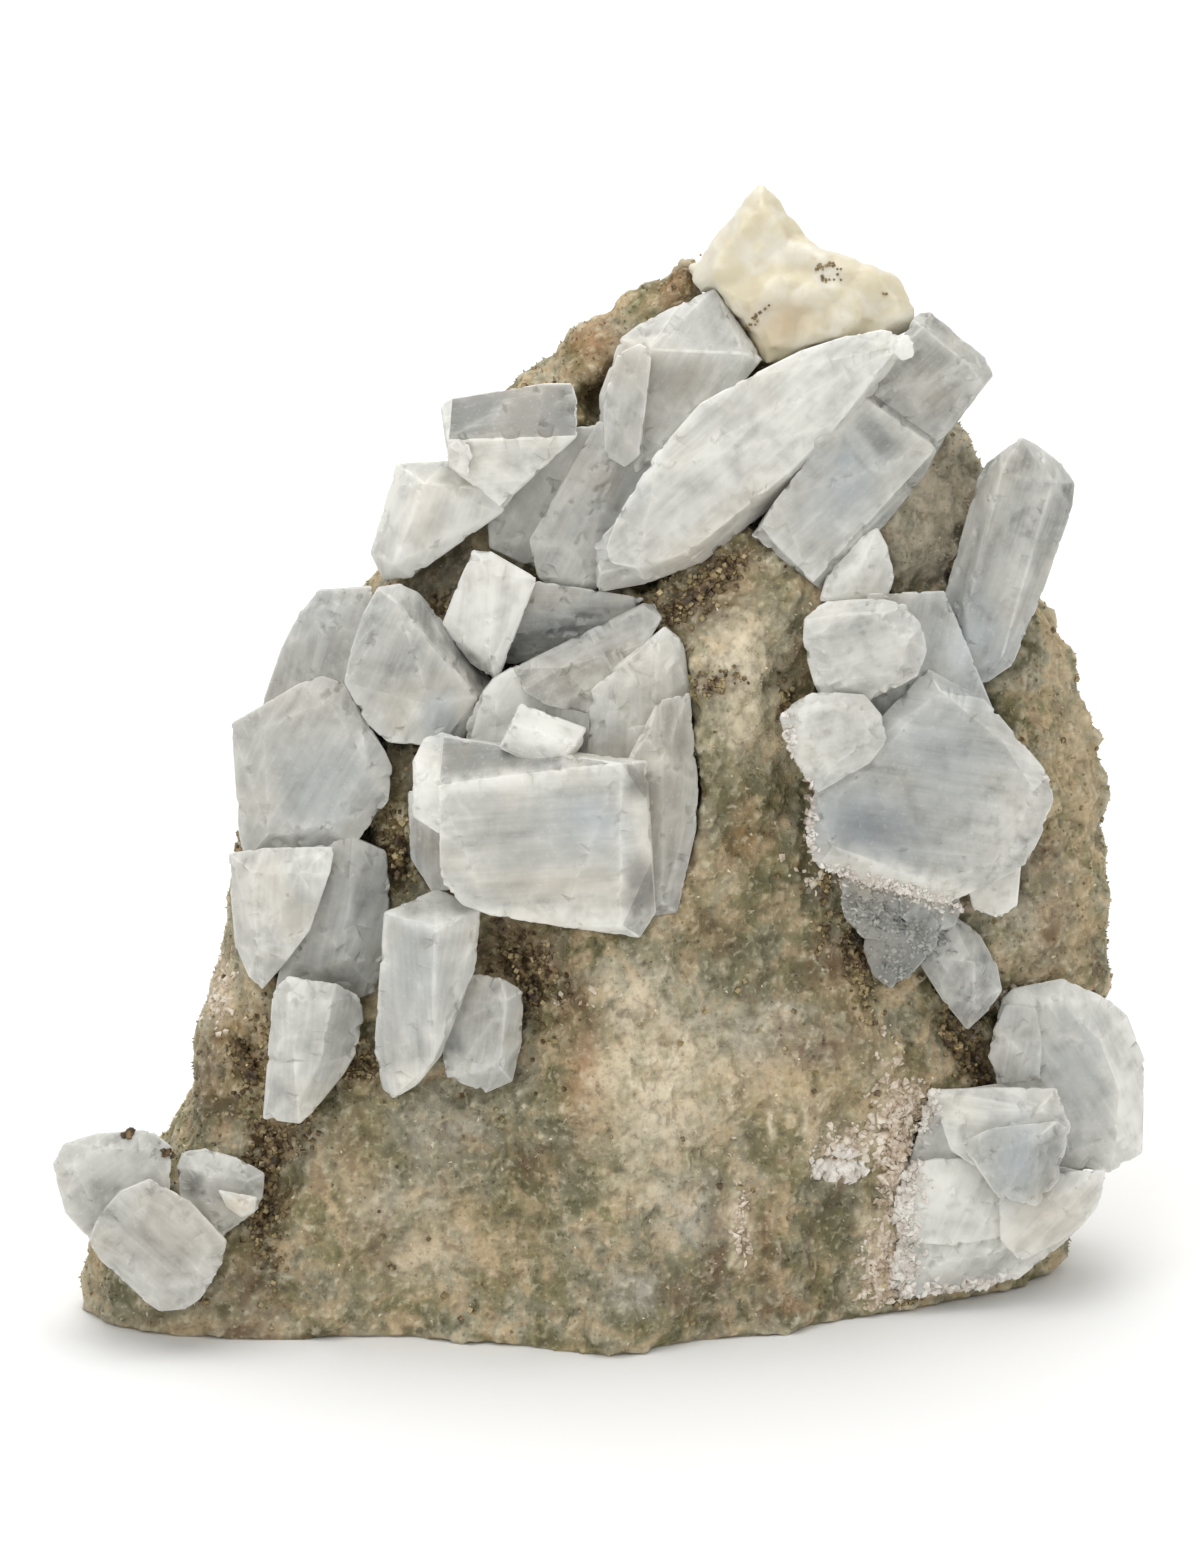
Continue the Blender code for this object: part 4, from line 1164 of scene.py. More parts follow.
ROCK_PATCHES: dict[Tint, list[Patch]] = {
    Tint.GREEN: patches(
        (13.4, 30.6, 4.4, 3.4), (-1.6, 17, 2.4, 1.4, 0.9, 10), (12.7, 17.4, 2.8, 1.4, 0.95),
        (19, 12.6, 2, 2.4), (3.4, 9.6, 0.9, 3.2, 0.8), (-6, 12, 3, 2.4, 0.8), (-10.4, 14.6, 1.6, 2.6, 0.7),
        (12.6, 37.6, 1.6, 3, 0.8, 10), (-3.2, 17, 12, 4.5, 0.7), (11.4, 33.5, 4.5, 4, 0.9),
        (-14.4, 17, 6, 4, 0.8), (3.2, 6, 6, 3.5, 0.8), (10, 45, 2.4, 3.4), (15.6, 41.5, 1.8, 6, 0.8),
        (-21.6, 6, 6, 3, 0.5), (19.2, 10.8, 2.4, 3.6), (22.4, 24, 3, 4, 0.5), (-36, 6.5, 4, 3, 0.9),
        (-7.6, 19.8, 3.6, 2), (33.6, 38, 1, 2.6, 0.6)),
    Tint.CREAM: patches(
        (11.5, 11.4, 0.8, 3.6, 0.8, 2), (6.4, 26, 2.6, 2, 0.6), (27, 68.4, 3.4, 5.4), (13, 60, 3, 2, 0.4),
        (14.4, 27.4, 2, 0.8, 0.6, 20), (-13.4, 13, 1.4, 2, 0.5), (10.6, 21.6, 0.35, 1.2, 1, 15, 1.5),
        (13.7, 19.8, 0.3, 1.3, 1, 3, 1.5), (16.7, 19.6, 0.3, 1.2, 1, 8, 1.5), (21, 17.8, 3.4, 1.8, 0.7, 20),
        (22.6, 9.6, 1.4, 4.6, 0.7), (23, 20.6, 1.4, 1.6, 0.6), (26, 70, 2.4, 3.6), (11.6, 61, 2, 1, 0.5),
        (11.4, 58, 3.4, 3.2, 0.8), (12, 53.6, 2.8, 4.6), (11, 49.6, 2.6, 2.2, 0.7),
        (3.2, 28.4, 2.8, 4, 0.7), (4.6, 23.4, 4.6, 4.4), (5, 19.4, 4.2, 4, 0.75), (3.4, 15.4, 3, 2.4, 0.6),
        (-15.2, 8, 3.2, 1.8, 0.55, 20), (15.2, 66, 3, 1.6, 0.5, 35), (-30, 29.6, 1.8, 2.2, 0.8)),
    Tint.TAN: patches(
        (0, 22.8, 2.2, 4.4, 0.9), (-20, 15, 2, 4, 0.8), (16, 22.6, 7, 3.6, 0.7), (38.4, 48, 2.2, 6, 0.9),
        (7.2, 38.4, 3, 3.6, 0.7), (-32, 3, 9, 1, 0.8), (-12, 10, 8, 3, 0.5), (36, 33, 3, 4, 0.5),
        (-26.4, 28, 3, 2, 0.6), (-6.6, 34, 3, 1.4, 0.9), (38.4, 36, 1, 4, 0.8)),
    Tint.BROWN: patches(
        (17.6, 25.8, 3.2, 1.4, 0.95), (-2, 29, 1.8, 2.4, 0.9), (9.5, 8.5, 1, 5, 0.85),
        (13.4, 10, 0.8, 3.6, 0.85), (7, 5.4, 2, 1.8, 0.6), (8.6, 34.6, 2.4, 1.4, 0.7),
        (-17.6, 9, 2, 1.4, 0.6), (36.6, 38, 1.4, 4, 0.5), (8, 61.4, 4.6, 2.4, 0.95, 35),
        (11.6, 65, 3, 1.6, 0.7, 40), (9.2, 54.6, 1.6, 1, 0.8, 20), (18.4, 32.4, 2.6, 2.6, 0.8),
        (-25.6, 19.6, 2, 8, 0.85, -8), (-18.2, 24.4, 2.4, 2, 0.9, 30), (-6.2, 33, 3.2, 1.8, 0.8, -10),
        (-28, 6.6, 3, 3, 0.7), (-6, 16.4, 1.8, 1.2, 0.8), (12.8, 7.6, 2, 4, 0.6),
        (30.2, 24.6, 1.4, 4.4, 1, 20), (20.8, 32.2, 1.2, 2.6, 1, 10), (24.4, 15, 1.2, 2.2, 0.8),
        (-31, 22, 1.6, 4, 0.7), (6.6, 39.6, 0.8, 2.4, 0.7, -12), (-14, 67, 2.2, 3, 0.8),
        # The narrow upright patches at x 10 to 16.5 mm are dark streaks for grooves, painted shade
        (12.2, 11, 0.35, 4.2, 0.8, 2), (14.6, 9.6, 0.35, 3.4, 0.8, -3), (10.2, 10, 0.3, 3.6, 0.7, 4),
        (16.4, 9, 0.4, 3, 0.7, -6), (24, 17.4, 1.6, 2.4, 0.8), (36, 40.6, 1.6, 2, 0.8),
        # The flat patches at h 2.4 to 2.7 mm are painted shadow under the ragged bottom edge of the foot
        (36.2, 34.4, 1, 3.4, 0.9), (39.8, 32.4, 0.6, 2.4, 0.8), (-36.6, 2.7, 2.2, 0.6, 0.9),
        (-29.4, 2.5, 2.8, 0.6), (-22.6, 2.4, 1.6, 0.5, 0.9), (-27, 5, 1.6, 2.6, 0.7)),
    Tint.RUST: patches(
        (-0.6, 82.4, 2.4, 2.2, 0.7, 30), (6.4, 86.6, 2.4, 1.4, 0.7, 30), (0, 79.4, 3, 2, 0.5, 40),
        (-1.6, 24, 1.4, 3.4, 0.6), (11.8, 42.6, 1.2, 2.2, 0.6), (-5.4, 31.6, 2.6, 0.9, 0.9, -15),
        (-29, 25.6, 2.4, 2.6, 0.5), (14.8, 4.6, 2.4, 0.8, 0.6, 8)),
    Tint.GREY: patches(
        (26.6, 68.4, 4, 6, 0.95), (-12, 18.8, 4, 2.4, 0.6), (2.6, 6.3, 2, 2, 0.7), (15, 28.2, 1.8, 1, 0.7),
        (7.2, 12, 3.4, 3.4, 0.6), (13, 26.4, 5, 2.6, 0.6), (34, 36, 3, 5, 0.5), (-17, 12.4, 3, 2.6, 0.5)),
    # Painted shade in crevices, in gaps between crystals and under the ragged foot
    Tint.PAINTED_SHADE: patches(
        (29.4, 27.4, 1.2, 5.4, 0.8, 26), (-11.8, 64.4, 2.6, 3.4, 0.5), (27, 63, 1, 1.4, 0.4),
        (7.4, 64.8, 4.2, 1.4, 0.5, 35), (-35, 2.2, 5, 0.6, 0.7), (-24.6, 2, 3.4, 0.5, 0.6),
        (15.6, 2.2, 5, 0.6, 0.5, 6), (19.4, 13.4, 2.4, 1.4, 0.5), (17.8, 41.5, 1, 6.5, 0.7, -8),
        (-28.4, 36.6, 0.8, 4.6, 0.7), (-15.6, 40, 1.4, 3.4, 0.7), (7.2, 60.6, 1.6, 1.4, 0.7)),
}

BARITE_PATCHES: dict[Tint, list[Patch]] = {
    Tint.WHITE: patches(
        (14.6, 73.4, 11, 3.2, 0.8, 43), (3.2, 64.8, 2.8, 2.6, 0.7), (24.3, 81.3, 1.6, 1.1),
        (-8.6, 71.4, 4, 1.8, 0.8, 10), (-9.8, 61.4, 1.6, 3.6, 0.9, -20), (-16.2, 69, 1.3, 3.4, 0.9),
        (20.8, 63.4, 2.2, 2.8, 0.9), (18.6, 50, 3.6, 3.6, 0.95), (21, 57.4, 4.4, 4.2, 0.6),
        (33.2, 43, 3, 5, 0.8, -10), (25.6, 38.8, 7.5, 1.2, 0.9, -14), (-5.4, 47, 9, 0.9, 0.8, 4),
        (-14, 46.4, 1.2, 3.4, 0.8), (-3.4, 36.2, 9, 1, 0.7), (4.5, 58.2, 1, 2.2, 0.9),
        (-4.4, 50.6, 2.6, 1.6, 0.9, -10), (14.6, 20.2, 5, 2.6), (19.2, 15.8, 2.4, 1.2),
        (26.8, 11.6, 3.2, 6, 0.9, -15), (36, 19.4, 4, 1.4, 0.7), (42.2, 22.8, 1.2, 6, 0.9),
        (38.4, 29.4, 4.5, 0.9, 0.8), (-27.4, 37, 1.3, 5, 0.9, 10), (-32.4, 6.6, 4, 2.4, 0.4),
        (-12.4, 37.4, 3, 0.8, 0.8, -15), (-22, 60.6, 3.4, 1, 0.5), (1.8, 53, 2.4, 3, 0.4),
        (34, 66, 0.8, 7, 0.6, -15), (5.6, 76.2, 2.6, 0.35, 0.9, -5, 1.5), (38, 26, 2.2, 0.6, 0.9, -25),
        (40.8, 23.4, 1.8, 0.6, 0.9, -50), (41.6, 19.6, 0.7, 2, 0.9), (35.2, 44, 0.7, 3.6, 0.8, 10),
        (-15.2, 36.6, 2.6, 0.4, 0.8, 22), (-24.6, 28.2, 1.6, 1.8, 0.5), (-31, 37.4, 2.4, 0.8, 0.5, 10)),
    # Dark see-through spots in clear crystal, and painted shade along gaps, in holes and on shaded facets
    Tint.GREY: patches(
        (22.2, 74.4, 2.1, 0.85, 0.55, -48, 2.5), (6.2, 78.6, 2.2, 1.1, 0.4, 5, 2.5),
        (20.9, 72.4, 2.2, 0.25, 0.4, -46, 2), (24.6, 76.2, 2.6, 0.9, 0.25, -42, 2),
        (-3.9, 58.7, 2.2, 0.5, 0.9, 3, 2), (3.2, 46.8, 1.2, 1.2, 0.8, 0, 2), (3.4, 38.2, 1.3, 2, 0.6, 0, 2),
        (-7.4, 48.9, 4.2, 1, 0.6, -8, 1.5), (-10.6, 56.8, 2.6, 0.5, 0.8, -42, 2),
        (29.8, 60.6, 0.7, 3, 0.45, -12, 1.5), (22, 43, 4.4, 2, 0.6, -12),
        (-32.4, 14.6, 0.8, 1.2, 0.9, 0, 2), (24, 35.6, 3.4, 2.6, 0.8), (-8, 51.6, 2, 2, 0.6),
        (-4.4, 48.6, 2.6, 0.25, 0.7, -25, 2), (-1.6, 45.6, 2, 0.4, 0.3, 10), (-27, 8.6, 2.4, 1, 0.25, -30),
        (30.4, 66.4, 0.5, 3.6, 0.3, -12), (36.8, 18.4, 2, 1.6, 0.3), (-20.6, 58.4, 2.6, 3, 0.2),
        (-8.6, 30, 0.35, 0.35, 0.8), (-11.8, 25.4, 0.5, 0.4, 0.8), (24, 36.4, 4.4, 1.4, 0.6, -10),
        (-4.4, 52.8, 2.4, 0.3, 0.5, -28, 2)),
    Tint.CLEAR: patches(
        (22.2, 74.4, 2.1, 0.9, 0.5, -48, 2.5), (6.2, 78.8, 3, 1.8, 0.5, 30),
        (-2.2, 59.4, 4.6, 1.9, 0.5, 0, 1.5), (0, 70, 3, 4, 0.35, 30), (3, 46.8, 1, 1.4, 0.7, 0, 2),
        (3.2, 38.4, 1.1, 2.2, 0.7, 0, 2), (29.4, 57, 2.4, 4.4, 0.6), (23.4, 35.8, 4, 3, 0.6),
        (-10.4, 56.8, 2.6, 0.9, 0.7, -42, 2), (-32.4, 14.8, 0.9, 1.2, 1, 0, 2),
        (20.6, 42.6, 2.8, 2, 0.6, -10), (8, 70, 2, 1.2, 0.3, 40)),
    Tint.BLUE: patches(
        (19.4, 70.8, 3.2, 2.4, 0.8, 45), (-0.6, 43.8, 3, 2, 0.7), (21.4, 43.4, 4, 2.8, 0.9, -10),
        (27, 49, 4, 4, 0.5), (-21.6, 60.4, 2.4, 2.4, 0.3), (-14.6, 33, 2, 5, 0.4),
        (33.6, 16.8, 2.4, 3.2, 0.8), (24.8, 35, 2.4, 2, 0.4), (38, 24, 2.6, 4, 0.4), (-22, 46, 4, 4, 0.4),
        (-2.2, 59, 4.6, 1.6, 0.3), (-19, 38, 3, 4, 0.3), (30, 58, 3, 5, 0.7), (0.4, 70, 3.6, 5, 0.4, 30),
        (-12.8, 51.8, 1.4, 1.8, 0.6, 0, 2.5), (19.6, 72.4, 2, 1.4, 0.8, 45)),
    Tint.WARM: patches(
        (5, 47.6, 2.6, 9, 0.6), (-1.6, 55, 4, 2.4, 0.4, 20), (-33, 10.6, 6, 5, 0.4),
        (-1.6, 71.4, 3, 3, 0.45), (-24, 53, 5, 3, 0.3), (-27.4, 37.6, 3, 4, 0.35), (3.2, 80, 6, 3, 0.35),
        (36.4, 12, 3, 2, 0.5, 30), (9, 66.8, 7, 1.2, 0.6, 42), (-3.2, 38.4, 6.4, 1.6, 0.6),
        (-6.4, 34.6, 4, 1.4, 0.8), (-16.2, 51.2, 1, 1, 0.7), (25.6, 38, 7.5, 1, 0.5, -14),
        (6.6, 78.6, 3, 2, 0.5, 30), (-14.2, 68, 1.6, 3, 0.4), (6.8, 50, 1, 3.4, 0.5), (-29, 12.9, 1.6, 1),
        (21.4, 38, 1.8, 1.2, 0.7)),
    Tint.FROST: patches(
        (-5.4, 47.2, 9, 0.8, 0.9, 4), (-14, 46.4, 1, 3.6, 0.9), (25.4, 38.2, 8, 0.8, 0.9, -14),
        (24.8, 11, 1.4, 6, 1, -20), (-3.4, 35.6, 9, 0.7, 0.8), (15.4, 50, 0.9, 3.4, 0.9),
        (41, 16.6, 2.6, 0.8, 0.9, 30), (-31, 16.4, 3, 0.8, 0.8), (-8, 51.8, 2.6, 2.4, 0.9),
        (-11.8, 24, 3, 0.7, 0.8, 10), (24, 36, 4.4, 3.2, 0.7), (2.6, 56, 3.4, 1.4, 0.5, 25),
        (28.8, 58, 1.8, 2.6, 0.6), (-41, 16.6, 3, 1, 0.6, -10), (18, 60.6, 2.4, 0.8, 0.8)),
}

CALCITE_PATCHES = patches((14.4, 83.4, 2.2, 2.2, 0.9), (9, 83, 2.4, 1.4, 0.5, 30))


@dataclass
class MatrixRock:
    """The rock that everything grows on, as a fine granular skin over its solid.

    Attributes:
        node: The solid that the skin replaces.
        voxel: Distance between the skin's points before the front is refined, in mm.
        smoothing: How many times the skin is smoothed before it is shaped.
        grazing: The least cosine to the front view with which a face of the skin is refined.
        swell: How far the skin stands out to close the gap around the crystals, in mm.
        lumps: Wavelength and height in mm of each layer of lumps.
        crags: Wavelength and height in mm of the broad lumps behind.
        grain: Size and height in mm of the druse's grains.
        joint: Height of a grain, from 0 to 1, at which the skin keeps its place.
        turn: Cosine to the front view between the front and what is behind.
        foot: Heights in mm between which the skin leaves the flat cut base.
        relief_reach: How far around a point its relief is looked at, and how many mm are the full relief.
    """

    node: str = "matrix_rock"
    voxel: float = 0.72
    smoothing: int = 2
    grazing: float = 0.25
    swell: float = 0.18
    lumps: list[tuple[float, float]] = field(
        default_factory=lambda: [(4.4, 0.70), (1.9, 0.50), (0.9, 0.32)])
    crags: tuple[float, float] = (9.0, 1.3)
    grain: tuple[float, float] = (0.75, 0.30)
    joint: float = 0.3
    turn: float = 0.25
    foot: tuple[float, float] = (0.05, 0.5)
    relief_reach: tuple[int, float] = (4, 0.22)

    def build(self) -> Object:
        """Makes the skin and returns its object."""
        skin = Skin.from_node(self.node, self.voxel, self.smoothing)
        skin.refine_front(self.grazing)
        places = skin.places
        heights = self.swell + sum(rough(places, length, 3.0) * height for length, height in self.lumps)
        size, height = self.grain
        heights += height * (grains(places, size) - self.joint)
        facing = front_share(skin.normals, -self.turn, self.turn)
        heights += (1.0 - facing) * rough(places, self.crags[0], 5.0) * self.crags[1]
        skin.push(heights * smooth_step(places[:, 2], *self.foot))
        rows = skin.places
        rows[:, 2] = np.maximum(rows[:, 2], 0.0)
        skin.places = rows
        # How far each point stands out, which the rock's finish turns into painted shade in the hollows and
        # a painted highlight on the bumps
        skin.write("relief", skin.edge_wear(*self.relief_reach))
        skin.write("behind", 1.0 - facing)
        for tint, spots in ROCK_PATCHES.items():
            skin.write(tint.value, tint_weights(spots, rows, ROCK_WARP) * facing)
        piece = skin.finished("rock_skin")
        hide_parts(self.node)
        return piece

    def dress(self, piece: Object, finishes: Finishes) -> None:
        """Gives the skin its finish."""
        dressed(piece, finishes["matrix_rock"])


CREST = [
    Crystal(-13.6, 9.5, (0.2, 0), 42, 0.68, [
        (11.6, 79, 0.6), (16, 81.2, 0.8), (20, 82.5, 0.8), (22.6, 82.9, 1), (25, 82.4, 1.2),
        (24.5, 81.4, 2.4), (19.8, 74.6, 2.4), (16.2, 70.6, 2.4), (13, 68.2, 2.4), (8.2, 64.2, 2.4),
        (23.7, 81.4, 0.4), (19, 75.3), (15, 71.4), (11.4, 68.6), (7, 65), (3.6, 62.6, 2.4), (3, 63.8),
        (0, 64.4, 1), (1.4, 68, 0.4), (4.4, 71.6), (4.3, 72.8, 0.4), (6.4, 74.8, 0.4), (8, 77, 0.5)]),
    Crystal(-14.7, 7.5, (0.2, 0.05), 42, 0.34, [
        (-0.6, 65.6, 0.3), (1.4, 67.6), (4.4, 69.8), (8, 68.8), (7.4, 65.5), (4, 64.2), (0, 63.4, 0.2),
        (3.6, 62.5, 1.8), (-0.3, 61.8, 1.8), (7.4, 63.9, 1.8)]),
    Crystal(-11.4, 8.5, (0.25, 0.08), 42, 0.16, [
        (21.6, 78.6, 1.5), (27.8, 74.5, 1.5), (21, 77.6), (27, 73.4), (26, 71.2, 0.3), (23.1, 67.6, 0.5),
        (21.6, 66, 0.8), (17.7, 62, 1.4), (17, 62.6, 0.2), (12.1, 66.4, 1.2), (12.8, 67, 0.1), (14, 69.2),
        (18.4, 74.8)]),
    Crystal(-8.8, 7.5, (0.12, 0.1), 42, 0.26, [
        (25, 83.7, 1.2), (25.5, 84.2, 2.2), (26.5, 84.3, 2.4), (30.9, 80.6, 1.9), (31.5, 79.2, 1.5),
        (30.7, 78.3, 0.5), (28.1, 74.8, 0.6), (27, 73.8, 0.4), (21.8, 77.6), (22.4, 79.2), (23.8, 81.2),
        (25.8, 83.1), (29.9, 79.8)]),
    Crystal(-14, 3, (0.2, 0), 60, 0.85, [
        (23.4, 81.9, 0.2), (24.3, 82.5, 0.4), (25.2, 81.9, 0.4), (25.1, 80.7, 0.3), (24.1, 80.3, 0.2),
        (23.4, 81, 0.2), (24.2, 81.5)]),
    Crystal(-10.2, 9, (0.05, 0.22), 60, 0.6, [
        (1.6, 82.2, 1.6), (3.2, 83.4, 2), (6.4, 85, 2.4), (9.2, 86.2, 2.8), (11, 83.2, 1.5),
        (13.1, 80.6, 0.9), (11.6, 78.8, 0.4), (8.2, 76.8, 0.2), (4.4, 72.6, 0.3), (2.9, 71.3, 0.5),
        (0, 71.6, 2), (-0.1, 77.6, 2), (4, 81.3), (11.4, 81), (3.2, 72.2)]),
    Crystal(-12.4, 6, (0.05, 0.12), 75, 0.6, [
        (1.4, 81, 0.9), (3.2, 81.8, 0.5), (4.2, 81.2, 0.2), (3.7, 77.2), (3.2, 72.8), (2, 71.8, 0.5),
        (0.4, 72.8, 1.1), (0.2, 77.2, 1.1)]),
    Crystal(-12.6, 9, (0.12, 0.1), 62, 0.44, [
        (-0.2, 75.6, 1.1), (3.2, 74.8, 0.7), (5, 73.2, 0.6), (4, 69.4, 0.6), (1.7, 65, 0.4),
        (0.5, 62.5, 0.8), (-2.2, 61.1, 1.2), (-5, 63, 1.3), (-5.7, 66, 1.2), (-4.4, 68, 1.1), (1, 73),
        (-2, 65.2), (-1.1, 63)]),
    Crystal(-10.6, 9, (-0.1, 0.05), 62, 0.46, [
        (-5, 74.8, 0.5), (0.2, 75.3), (-0.8, 71.6), (-3, 67.6, 0.3), (-4, 63.1, 0.9), (-8.9, 65.4, 1.3),
        (-9, 67.3, 1.3), (-7, 69.9, 0.9)]),
    Crystal(-13.2, 11.5, (0, 0), 8, 0.7, [
        (-12.8, 76.9, 4.4), (-11.8, 77.4, 4.4), (-8, 78, 4.3), (-4.4, 78.6, 4.2), (-2.2, 78.6, 4.2),
        (-12.2, 74), (-5.1, 74.2), (-1.8, 74.3, 0.4), (-1.8, 77.2, 3), (-12.1, 71.9, 0.2),
        (-10.4, 70.6, 0.3), (-8, 68.6, 0.5), (-6.2, 70.6, 0.1)]),
    Crystal(-14.2, 4, (0, 0), 80, 0.62, [
        (-12.1, 73.7, 0.3), (-11.4, 74.1, 0.6), (-10.5, 73.9, 0.4), (-10.1, 72.8, 0.1), (-10.6, 71, 0.3),
        (-11.6, 71.5, 0.4), (-12.1, 72.3, 0.4), (-11.2, 73)]),
    Crystal(-11.2, 9, (0, 0), 72, 0.78, [
        (-16.3, 72.2, 3), (-12.3, 72.4, 2.8), (-10.4, 70.7, 1), (-6.7, 69.9, 0.8), (-7.8, 68.2, 0.5),
        (-9.6, 67.5, 0.5), (-12.8, 67.5, 0.3), (-14, 65.5, 0.4), (-15.1, 63, 0.5), (-17.3, 62.7, 1.2),
        (-18.4, 65, 1.9), (-17.1, 68.2, 1.9), (-16, 70.4, 1.7), (-14.1, 70.6), (-16.5, 64.2)]),
]

CENTRE = [
    Crystal(-22.6, 11, (0, 0.06), 3, 0.62, [
        (-13, 46.4), (-8, 46.9), (-3.2, 47.4), (1.7, 48.2), (1.7, 35.1, 0.1), (-3.2, 35.1), (-8.8, 36),
        (-11, 36.8, 0.4), (-12.8, 38.7, 0.4), (-12.6, 50.4, 3.2), (-8, 49.3, 2.7), (-3.8, 47.7, 1.1),
        (3.8, 48.4, 2.4), (3.7, 45.2, 1.2), (4.2, 40.4, 1.4), (4.5, 36.2, 2.8), (3.2, 34.2, 1.8),
        (0.6, 34.7, 0.7)]),
    Crystal(-21.8, 9, (-0.1, 0.2), 3, 0.64, [
        (-15, 48.4, 0.5), (-14.1, 50.2, 2.2), (-12.8, 50.7, 2.9), (-11, 50.3, 2.9), (-10.2, 46, 0.2),
        (-12, 46.5), (-14.6, 47, 0.1), (-15, 43.9, 0.5), (-13, 42.6, 0.4), (-10.4, 42.2, 0.4)]),
    Crystal(-19.4, 7, (0.3, 0), 88, 0.22, [
        (2, 48, 0.5), (3.8, 50.4, 0.4), (4.6, 53.2, 1), (7.2, 53.9, 2), (6.9, 50, 1.3), (7.9, 46.4, 1.1),
        (7.7, 42.8, 1.1), (7, 41, 0.9), (6.2, 36.2, 1), (3.2, 35.7, 0.7), (0.5, 36.8, 0.9),
        (0.5, 45.2, 0.6), (5, 48.4), (5, 37)]),
    Crystal(-16.8, 8, (0.05, 0.35), 27, 0.1, [
        (-7, 55.8, 0.7), (-3.2, 57.5, 0.9), (0, 59.2, 0.9), (3.4, 61, 0.9), (4.6, 61, 1), (5, 59.8, 0.5),
        (3.8, 57.7), (1, 55.6), (-1.1, 53.8), (-1, 52.1, 0.2), (-4.4, 52.8, 0.2), (-6.2, 53.9, 0.5),
        (-3, 55.8)]),
    Crystal(-18, 9, (0.15, 0.12), 88, 0.28, [
        (-0.8, 54, 0.4), (1, 55.8, 0.4), (4, 58, 0.2), (5.2, 59.2, 0.8), (6.7, 58, 2), (7.3, 54, 2),
        (7.3, 49.8, 2.2), (4, 48, 0.8), (-1.1, 47.9, 1), (-0.8, 51.6, 0.6), (4.3, 57.2), (4.3, 49),
        (1, 53.2)]),
    Crystal(-21.2, 8, (0.05, 0.15), -17, 0.8, [
        (-6.4, 53, 2), (-1, 51, 2), (-7, 51.4), (-2, 49.6), (-8.1, 49.4, 0.4), (-4.1, 47.4, 0.4),
        (-2.6, 48, 1), (-1.4, 49.7, 1.6), (-3.6, 47.9, 0.1)]),
    Crystal(-14.6, 8, (-0.1, 0.12), 80, 0.8, [
        (-10.2, 65.3, 0.4), (-8.8, 65.2, 0.4), (-5, 63, 0.1), (-7.8, 61.2, 0.1), (-7.8, 56.4, 0.2),
        (-8.2, 54.6, 0.5), (-10.4, 56.2, 1), (-12.7, 59.2, 1.2), (-11.6, 62, 1), (-8.4, 63.2),
        (-8.8, 56.2)]),
    # A face turned down and in shade, whose low tone is painted shade
    Crystal(-13.4, 7, (0, -0.2), 0, 0.26, [
        (-8, 61.2, 0.2), (-5, 62.8, 0.8), (-2.6, 61.2, 0.9), (3.6, 61.4, 0.4), (2.1, 59.8, 0.2),
        (-0.8, 57.8, 0.3), (-3.2, 57, 0.5), (-6.8, 56.1, 0.6), (-8, 56.2, 0.5), (-6.8, 58.6), (-1.4, 58.6),
        (0, 59.4)]),
    Crystal(-17, 8, (-0.05, 0.1), 60, 0.18, [
        (-9.4, 54, 0.4), (-8.6, 55, 0.3), (-6.6, 56.2, 0.3), (0, 54), (0, 46), (-8, 45.4), (-11, 48.4, 0.3),
        (-10.7, 51.4, 0.5)]),
    # The shaded left side of the first crystal, whose low tone is painted shade
    Crystal(-18.8, 8, (-0.55, 0), 80, 0.2, [
        (-15.4, 46), (-11, 46), (-11, 38.2), (-13.4, 37.8), (-15.2, 40.6)]),
]

